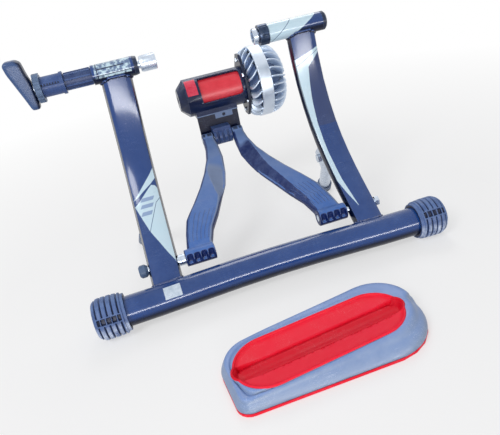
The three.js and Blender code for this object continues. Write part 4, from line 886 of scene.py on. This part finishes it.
painted_steel = moulded_plastic("painted_steel", (4, 10, 34), (10, 20, 54), 0.3, dusty=0.12)
housing_plastic = moulded_plastic("housing_plastic", (10, 20, 48), (28, 44, 86), 0.24, housing_tints)
dress(painted_steel, "unit_bracket", "mounting_plate")
dress(housing_plastic, "roller_housing")
unit_axis = Vector((0.0, 265.155, 262.0))


def on_unit(x, r, turn):
    return (unit_axis + Vector((x, -r * math.cos(turn), r * math.sin(turn)))) * mm


# a thin moulded frame round the roller's window, with rounded inner corners at its right
left, right, corner, tight, width, steps = -6.4, 76.2, 9.0, 1.2, 4.2, 8
low, high, housing_radius = -14.6, 70.6, 37.2
span = math.radians(high - low) * housing_radius
outline = []
for quarter, (cx, cy) in enumerate(((right, span), (left, span), (left, 0.0), (right, 0.0))):
    r = corner if cx == right else tight
    for i in range(steps + 1):
        turn = (quarter + i / steps) * math.pi / 2
        outline.append((cx - math.copysign(r, cx - (left + right) / 2) + r * math.cos(turn),
                        cy - math.copysign(r, cy - span / 2) + r * math.sin(turn),
                        math.cos(turn), math.sin(turn)))
rings = [[on_unit(x + ox * grow, rise, math.radians(low) + (y + oy * grow) / housing_radius)
          for x, y, ox, oy in outline]
         for grow, rise in ((0.0, 36.2), (0.0, 37.35), (0.5, 37.6), (width - 0.6, 37.6), (width, 37.3),
                            (width, 36.4))]
new_piece("window_frame", *woven(rings), housing_plastic, "unit", "black_plastic")
red_print = label_print("plain_red_label", 0.004, 1.6, (216, 30, 60), (240, 92, 118), Specular_IOR_Level=0.25)
patch("unit_label", "roller_housing", [(-0.0335, 0.2300, 0.2720), (-0.0125, 0.2300, 0.2720),
                                       (-0.0125, 0.2540, 0.2975), (-0.0335, 0.2540, 0.2975)],
      (8, 14), 0.15 * mm, red_print, "unit", "red_plastic", bow=(0, -0.0045, 0.0043))
roller_rubber, tree, tone, base = two_tone("roller_rubber", 0.02, 1.2, (214, 34, 52), (236, 62, 78))
base = mixed(fill(tree, fine_scratches, Size=0.02, Amount=0.4), base, (245, 130, 140))
finish_surface(tree, base, between(tone, 0.28, 0.42), (0.0008, 0.5), 0.00003, 0.0005)
dress(roller_rubber, "roller_sleeve")
dress(dark_steel, "roller_core")


# Brake drum. Die-cast aluminium: an inner shell with fins, a turned ring round it and a domed
# cover whose curved fins drive air over it. Blasted finish, the ring is brighter; the core between the fins
# is painted dark as painted shade.
def cast_metal(name, dark, pale, rough):
    made, tree, tone, base = two_tone(name, 0.02, 1.6, dark, pale)
    base = mixed(fill(tree, edge_wear, Width=0.001, Amount=0.7, Breakup=0.004), base, (240, 246, 252))
    base = mixed(fill(tree, dust_film, Amount=0.3, Drift=0.012), base, (206, 214, 224))
    finish_surface(tree, base, between(tone, rough, rough + 0.12), (0.0008, 0.75), 0.00006, 0.0006,
                   Metallic=0.85)
    return made


drum_metal = cast_metal("drum_metal", (186, 202, 224), (218, 230, 244), 0.4)
# painted shade: the core that shows between the fins is painted dark
shaded_core_metal = cast_metal("shaded_core_metal", (58, 76, 112), (92, 112, 146), 0.5)
ring_metal = cast_metal("ring_metal", (196, 208, 224), (220, 230, 242), 0.3)


def along_profile(profile, share):
    at = share * (len(profile) - 1)
    low = min(int(at), len(profile) - 2)
    return [a + (b - a) * (at - low) for a, b in zip(profile[low], profile[low + 1])]


def turned_skin(name, profile):
    sides = 96
    rings = [[on_unit(x, r, math.tau * k / sides) for k in range(sides)] for r, x in profile]
    new_piece(name, *woven(rings, flip=True), shaded_core_metal, "unit", "cast_aluminium")


def blades(name, node_name, outer, core, count, swirl, thick):
    # cast fins with round edges: each follows the outer profile and roots in the core
    points, faces, steps, thin_from = [], [], 14, 12
    section = ((0.0, 0.62), (0.55, 0.5), (0.9, 0.42), (0.98, 0.28), (1.0, 0.0), (0.98, -0.28), (0.9, -0.42),
               (0.55, -0.5), (0.0, -0.62))
    wide = len(section)
    for f in range(count):
        first = len(points)
        for j in range(steps + 1):
            share = j / steps
            (r1, x1), (r0, x0) = along_profile(outer, share), along_profile(core, share)
            turn = math.tau * f / count + swirl * share * share
            for up, side in section:
                r, x = r0 + (r1 - r0) * up, x0 + (x1 - x0) * up
                points.append(on_unit(x, r, turn + side * thick / max(r, thin_from)))
        faces += quads(steps + 1, wide, closed=False, first=first)
        faces.append(tuple(first + i for i in reversed(range(wide))))
        faces.append(tuple(first + steps * wide + i for i in range(wide)))
    fins = new_piece(name, points, faces, drum_metal, "unit", "cast_aluminium")
    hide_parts(node_name)


# profiles of radius and place along the axis
cover_outer = [(68.6, 130.0), (68.2, 137.0), (66.4, 144.5), (62.0, 151.5), (55.5, 157.8), (46.5, 163.0),
               (35.0, 166.4), (20.0, 167.6)]
cover_core = [(60.0, 130.0), (58.5, 134.0), (55.0, 139.0), (49.0, 144.5), (42.0, 149.5), (34.0, 153.5),
              (25.0, 156.5), (16.0, 158.5)]
cover_hub = [(16.0, 166.0), (14.5, 167.6), (6.0, 167.6), (5.0, 165.0), (0.1, 165.0)]
shell_outer = [(58.0, 88.2), (60.5, 89.5), (63.5, 92.0), (66.0, 95.5), (67.6, 99.5), (68.4, 105.0)]
shell_core = [(40.0, 88.2), (42.0, 89.5), (45.5, 92.5), (50.5, 96.5), (56.0, 101.0), (60.0, 105.0)]
shell_hub = [(8.0, 88.0)]
turned_skin("cover_core", cover_core + cover_hub)
blades("cover_fins", "drum_dome", cover_outer, cover_core, 25, -0.12, 3.4)
turned_skin("inner_core", shell_hub + shell_core)
blades("inner_fins", "drum_inner_shell", shell_outer, shell_core, 20, 0.22, 4.0)
dress(ring_metal, "drum_ring")
dress(dark_steel, "impeller")

# Folding legs. Zinc-plated round tubes that turn on riveted brackets behind the uprights. Moulded
# rubber tips are pushed over their ends, so that the trainer doesn't slip.
dress(bright_steel, "leg_left_bracket", "leg_right_bracket", "leg_left_tube", "leg_right_tube")
dress(plain_rubber, "leg_left_tip", "leg_right_tip")

# Front wheel block. A blow-moulded grey-blue shell with leaning sides and round shoulders. A crease
# runs round its low left end and fades along the near side. It snaps over a red sill on the floor.
block_long, block_left, block_right = 297.0, 127.0, 149.0
block_corners = (66.0, 47.0, 20.0, 72.0)
block_leans = (6.0, 5.04, 5.04, 12.0)
block_turn = math.radians(4)
block_place = Vector((15.375, -262.845))
tray_at = (-9.5, -7.5)
trough_long, trough_left, trough_right, trough_corner = 249.0, 96.0, 91.0, 48.0
track_long, track_wide, wall_foot = 257.0, 33.0, 7.6
top_middle, top_rise = 33.0, 15.0
shoulder_least, shoulder_more = 5.0, 6.5
crease_fall, wall_swell = 2.2, 2.6
block_sides = 480
turns = [math.tau * k / block_sides for k in range(block_sides)]


def block_top(x):
    return top_middle + top_rise * x / block_long


def corner_ring(length, left, right, corners, insets, off=(0.0, 0.0)):
    # an outline with four rounded corners, each with its own radius and inset
    ring, half, steps = [], length / 2, 24
    ends = ((half, right / 2), (-half, left / 2), (-half, -left / 2), (half, -right / 2))
    for quarter, (x, y) in enumerate(ends):
        inset = insets[quarter]
        radius = max(min(corners[quarter] - inset, abs(y) - inset), 0.5)
        for i in range(steps + 1):
            turn = (quarter + i / steps) * math.pi / 2
            ring.append((off[0] + math.copysign(half - inset - radius, x) + radius * math.cos(turn),
                         off[1] + math.copysign(abs(y) - inset - radius, y) + radius * math.sin(turn)))
    return ring


def reaches(ring):
    # how far the outline lies from the tray's middle, in each direction
    found = []
    from_tray = [(x - tray_at[0], y - tray_at[1]) for x, y in ring]
    for turn in turns:
        c, s = math.cos(turn), math.sin(turn)
        best = 0.0
        for (x1, y1), (x2, y2) in sides_of(from_tray):
            cross1, cross2 = c * y1 - s * x1, c * y2 - s * x2
            if cross1 * cross2 <= 0 and cross1 != cross2:
                share = cross1 / (cross1 - cross2)
                best = max(best, c * (x1 + (x2 - x1) * share) + s * (y1 + (y2 - y1) * share))
        found.append(best)
    return found


def body_reach(inset, lean):
    insets = [inset + lean * share for share in block_leans]
    return reaches(corner_ring(block_long, block_left, block_right, block_corners, insets))


def trough_ring(inset):
    return corner_ring(trough_long, trough_left, trough_right, (trough_corner,) * 4, (inset,) * 4, tray_at)


def track_ring(inset):
    return corner_ring(track_long, track_wide, track_wide, (track_wide,) * 4, (inset,) * 4, tray_at)


def tray_reach(inset):
    return [max(pair) for pair in zip(reaches(trough_ring(inset)), reaches(track_ring(inset)))]


def on_block(x, y, z):
    c, s = math.cos(block_turn), math.sin(block_turn)
    return Vector((block_place.x + c * x - s * y, block_place.y + s * x + c * y, z)) * mm


def block_ring(reach, height):
    spots = [(tray_at[0] + r * math.cos(turn), tray_at[1] + r * math.sin(turn))
             for r, turn in zip(reach, turns)]
    return [on_block(x, y, height(x, y)) for x, y in spots]


def crease_depth(x, y):
    near = 1.25 if y < -20 else 0.4 + 0.85 * ease(-x, 60, 140)
    return near * (1 - ease(x, -50, 105))


def shoulder(x):
    return shoulder_least + shoulder_more * ease(x, -120, 120)


def wall_top(x, y):
    return block_top(x) - crease_fall * crease_depth(x, y)


shell_rings = [block_ring(body_reach(2.2, 0), lambda x, y: 7.4),
               block_ring(body_reach(0.5, 0), lambda x, y: 6.2),
               block_ring(body_reach(0.0, 0.03), lambda x, y: wall_foot)]
for t in (0.15, 0.3, 0.45, 0.6, 0.75, 0.88):
    # the right end of the wall swells a little
    bulge = math.sin(math.pi * t)
    swell = [wall_swell * bulge * ease(r * math.cos(turn), 50, 130)
             for r, turn in zip(body_reach(0, t), turns)]
    shell_rings.append(block_ring([r + more for r, more in zip(body_reach(-0.5 * bulge, t), swell)],
                                  lambda x, y: wall_foot + (wall_top(x, y) - shoulder(x) - wall_foot) * t))
wide, wider = body_reach(shoulder_least, 1), body_reach(shoulder_least + shoulder_more, 1)
rim, foot = body_reach(0, 1), body_reach(0, 0.03)
for t in (0.0, 0.15, 0.3, 0.45, 0.6, 0.8, 1.0):
    # the rounding leaves the leaning wall and meets the top without a kink
    reach = []
    for k, turn in enumerate(turns):
        x = tray_at[0] + rim[k] * math.cos(turn)
        inner = wide[k] + (wider[k] - wide[k]) * (shoulder(x) - shoulder_least) / shoulder_more
        lean = (rim[k] - foot[k]) / (block_top(x) - shoulder(x) - wall_foot)
        corner = max(rim[k] + lean * shoulder(x), inner + 1.0)
        reach.append(rim[k] * (1 - t) ** 2 + corner * 2 * t * (1 - t) + inner * t * t)
    shell_rings.append(block_ring(reach, lambda x, y: wall_top(x, y) - shoulder(x) * (1 - t) ** 2))
inner = tray_reach(-1.2)
for t, drop in ((0.2, 2.4), (0.38, 3.0), (0.46, 4.6), (0.52, 4.2), (0.58, 1.4), (0.68, 0.3), (0.86, 0.0),
                (1.0, 0.0)):
    # the crease lies in the top, between the rounding and the tray
    shell_rings.append(block_ring([a + (b - a) * t for a, b in zip(reach, inner)],
                                  lambda x, y: block_top(x) - drop * crease_depth(x, y)))
shell_rings.append(block_ring(tray_reach(-0.6), lambda x, y: block_top(x) - 3.0))

shell_plastic, tree = new_material("shell_plastic")
tone = fill(tree, tone_patches, Size=0.06, Contrast=1.3)
# painted light: faces that look up are painted bluer and lighter than the sides, as light from the sky
upward = ramp(facing(tree)["Z"], 0.35, 0.9)
base = mixed(upward, mixed(tone, (108, 128, 162), (132, 152, 184)),
             mixed(tone, (112, 142, 200), (134, 162, 214)))
scuffs = fill(tree, tone_patches, Size=0.012, Contrast=3.0)
base = mixed(times(scuffs, between(upward, 0.3, 0.1)), base, (160, 176, 202))
base = mixed(fill(tree, fine_scratches, Size=0.05, Amount=0.8), base, (204, 216, 236))
finish_surface(tree, base, between(scuffs, 0.34, 0.5), (0.0011, 0.65), 0.00006, 0.0008)
shell = new_piece("moulded_shell", *woven(shell_rings), shell_plastic, "block", "block_grey")
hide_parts("block_shell")

# Tray. A red moulding dropped into the shell: a raised rolled lip, a dished floor, and a shallow
# track for the tyre down its middle, darkened with painted shade, which runs out past the tray at both ends.
tray_plastic, tree, tone, base = two_tone("tray_plastic", 0.05, 1.2, (236, 14, 42), (248, 36, 66))
tray_middle = on_block(*tray_at, 0)
tray_across = (on_block(tray_at[0], tray_at[1] + 100, 0) - tray_middle).normalized()
from_middle = vectors("SUBTRACT", place_on(tree), tray_middle)
aside = maths("ABSOLUTE", vectors("DOT_PRODUCT", from_middle, tray_across))
# painted shade: the track down the tray's middle is painted darker
track_shade_half = 13.8 * mm
track_shade = ramp(aside, track_shade_half + 0.5 * mm, track_shade_half - 0.5 * mm)
base = mixed(track_shade, base, mixed(tone, (206, 4, 34), (224, 10, 42)))
base = mixed(fill(tree, dust_film, Amount=0.12, Drift=0.02), base, (240, 80, 94))
base = mixed(fill(tree, fine_scratches, Size=0.04, Amount=0.4), base, (240, 140, 150))
finish_surface(tree, base, between(tone, 0.36, 0.5), (0.001, 0.6), 0.00005, 0.0008, Specular_IOR_Level=0.16)
dress(tray_plastic, "block_sill", angle=28)
lip_rings = [block_ring(tray_reach(inset), lambda x, y: block_top(x) + rise)
             for inset, rise in ((-1.9, -0.6), (-1.9, 0.5), (-1.4, 1.4), (-0.5, 1.95), (0.5, 1.9), (1.4, 1.2),
                                 (2.0, 0.1), (2.3, -1.6))]
new_piece("tray_lip", *woven(lip_rings), tray_plastic, "block", "red_plastic")


def depth_inside(ring, x, y):
    # distance from the outline, positive inside it
    best, within = 1e9, False
    for (x1, y1), (x2, y2) in sides_of(ring):
        dx, dy = x2 - x1, y2 - y1
        long = dx * dx + dy * dy
        share = 0 if long == 0 else min(max(((x - x1) * dx + (y - y1) * dy) / long, 0), 1)
        best = min(best, math.hypot(x - x1 - share * dx, y - y1 - share * dy))
        if (y1 > y) != (y2 > y) and x < x1 + (y - y1) * dx / dy:
            within = not within
    return best if within else -best


def span_at(ring, x):
    cuts = [y1 + (x - x1) * (y2 - y1) / (x2 - x1) for (x1, y1), (x2, y2) in sides_of(ring)
            if (x1 > x) != (x2 > x)]
    return (min(cuts), max(cuts)) if cuts else None


lip_drop, edge_fall, dish_fall, dish_half = -0.4, 1.4, 3.4, 29
track_drop, track_fall, slit_depth, slit_at = -8.0, 2.4, 3.6, 0.9


def tray_drop(x, y):
    # how far the tray lies below the block's top: the dish, the track in it, a slit at its edge
    outer, groove = depth_inside(trough, x, y), depth_inside(track, x, y)
    dish = lip_drop - edge_fall * ease(outer, 0, 4) - dish_fall * min(max(outer / dish_half, 0), 1)
    if groove <= 0:
        return dish
    floor_drop = track_drop - track_fall * ease(groove, 2, 16)
    if outer <= 1.5:
        return lip_drop + (floor_drop - lip_drop) * ease(groove, 0, 5.5)
    slit = -slit_depth * (1 - ease(abs(groove - slit_at), 0.5, 1.3))
    return dish + (floor_drop - dish) * ease(groove, 0, 1.2) + slit


trough, track = trough_ring(1.6), track_ring(1.6)
half, column_steps, track_half, weld_gap = track_long / 2 - 1.7, 180, 15, 0.02 * mm
shares = (0, 0.04, 0.1, 0.2, 0.4, 0.6, 0.8, 0.96)
edge = (14.9, 14.7, 14.5, 14.3, 14.1, 13.9, 13.7, 13.5, 13.2, 12.5, 9, 4.5)
columns = []
for k in range(column_steps + 1):
    # the columns stand closer together towards the ends, the rows along the track's edges
    x = -half * math.cos(math.pi * k / column_steps)
    x = tray_at[0] + (0.55 * x + 0.45 * half * (2 * k / column_steps - 1))
    edges = [e for e in (span_at(trough, x), span_at(track, x)) if e]
    low, high = min(e[0] for e in edges), max(e[1] for e in edges)
    rows = [low + (tray_at[1] - track_half - low) * t for t in shares]
    rows += [tray_at[1] - g for g in edge] + [tray_at[1]] + [tray_at[1] + g for g in reversed(edge)]
    rows += [high + (tray_at[1] + track_half - high) * t for t in reversed(shares)]
    rows = [min(max(y, low), high) for y in rows]
    columns.append([on_block(x, y, block_top(x) + tray_drop(x, y)) for y in rows])
dish = new_piece("tray_dish", *woven(columns, closed=False, flip=True), tray_plastic, "block", "red_plastic")
cleaner = bmesh.new()
cleaner.from_mesh(dish.data)
bmesh.ops.remove_doubles(cleaner, verts=cleaner.verts, dist=weld_gap)
bmesh.ops.dissolve_degenerate(cleaner, edges=cleaner.edges, dist=weld_gap)
cleaner.to_mesh(dish.data)
cleaner.free()
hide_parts("block_tray")
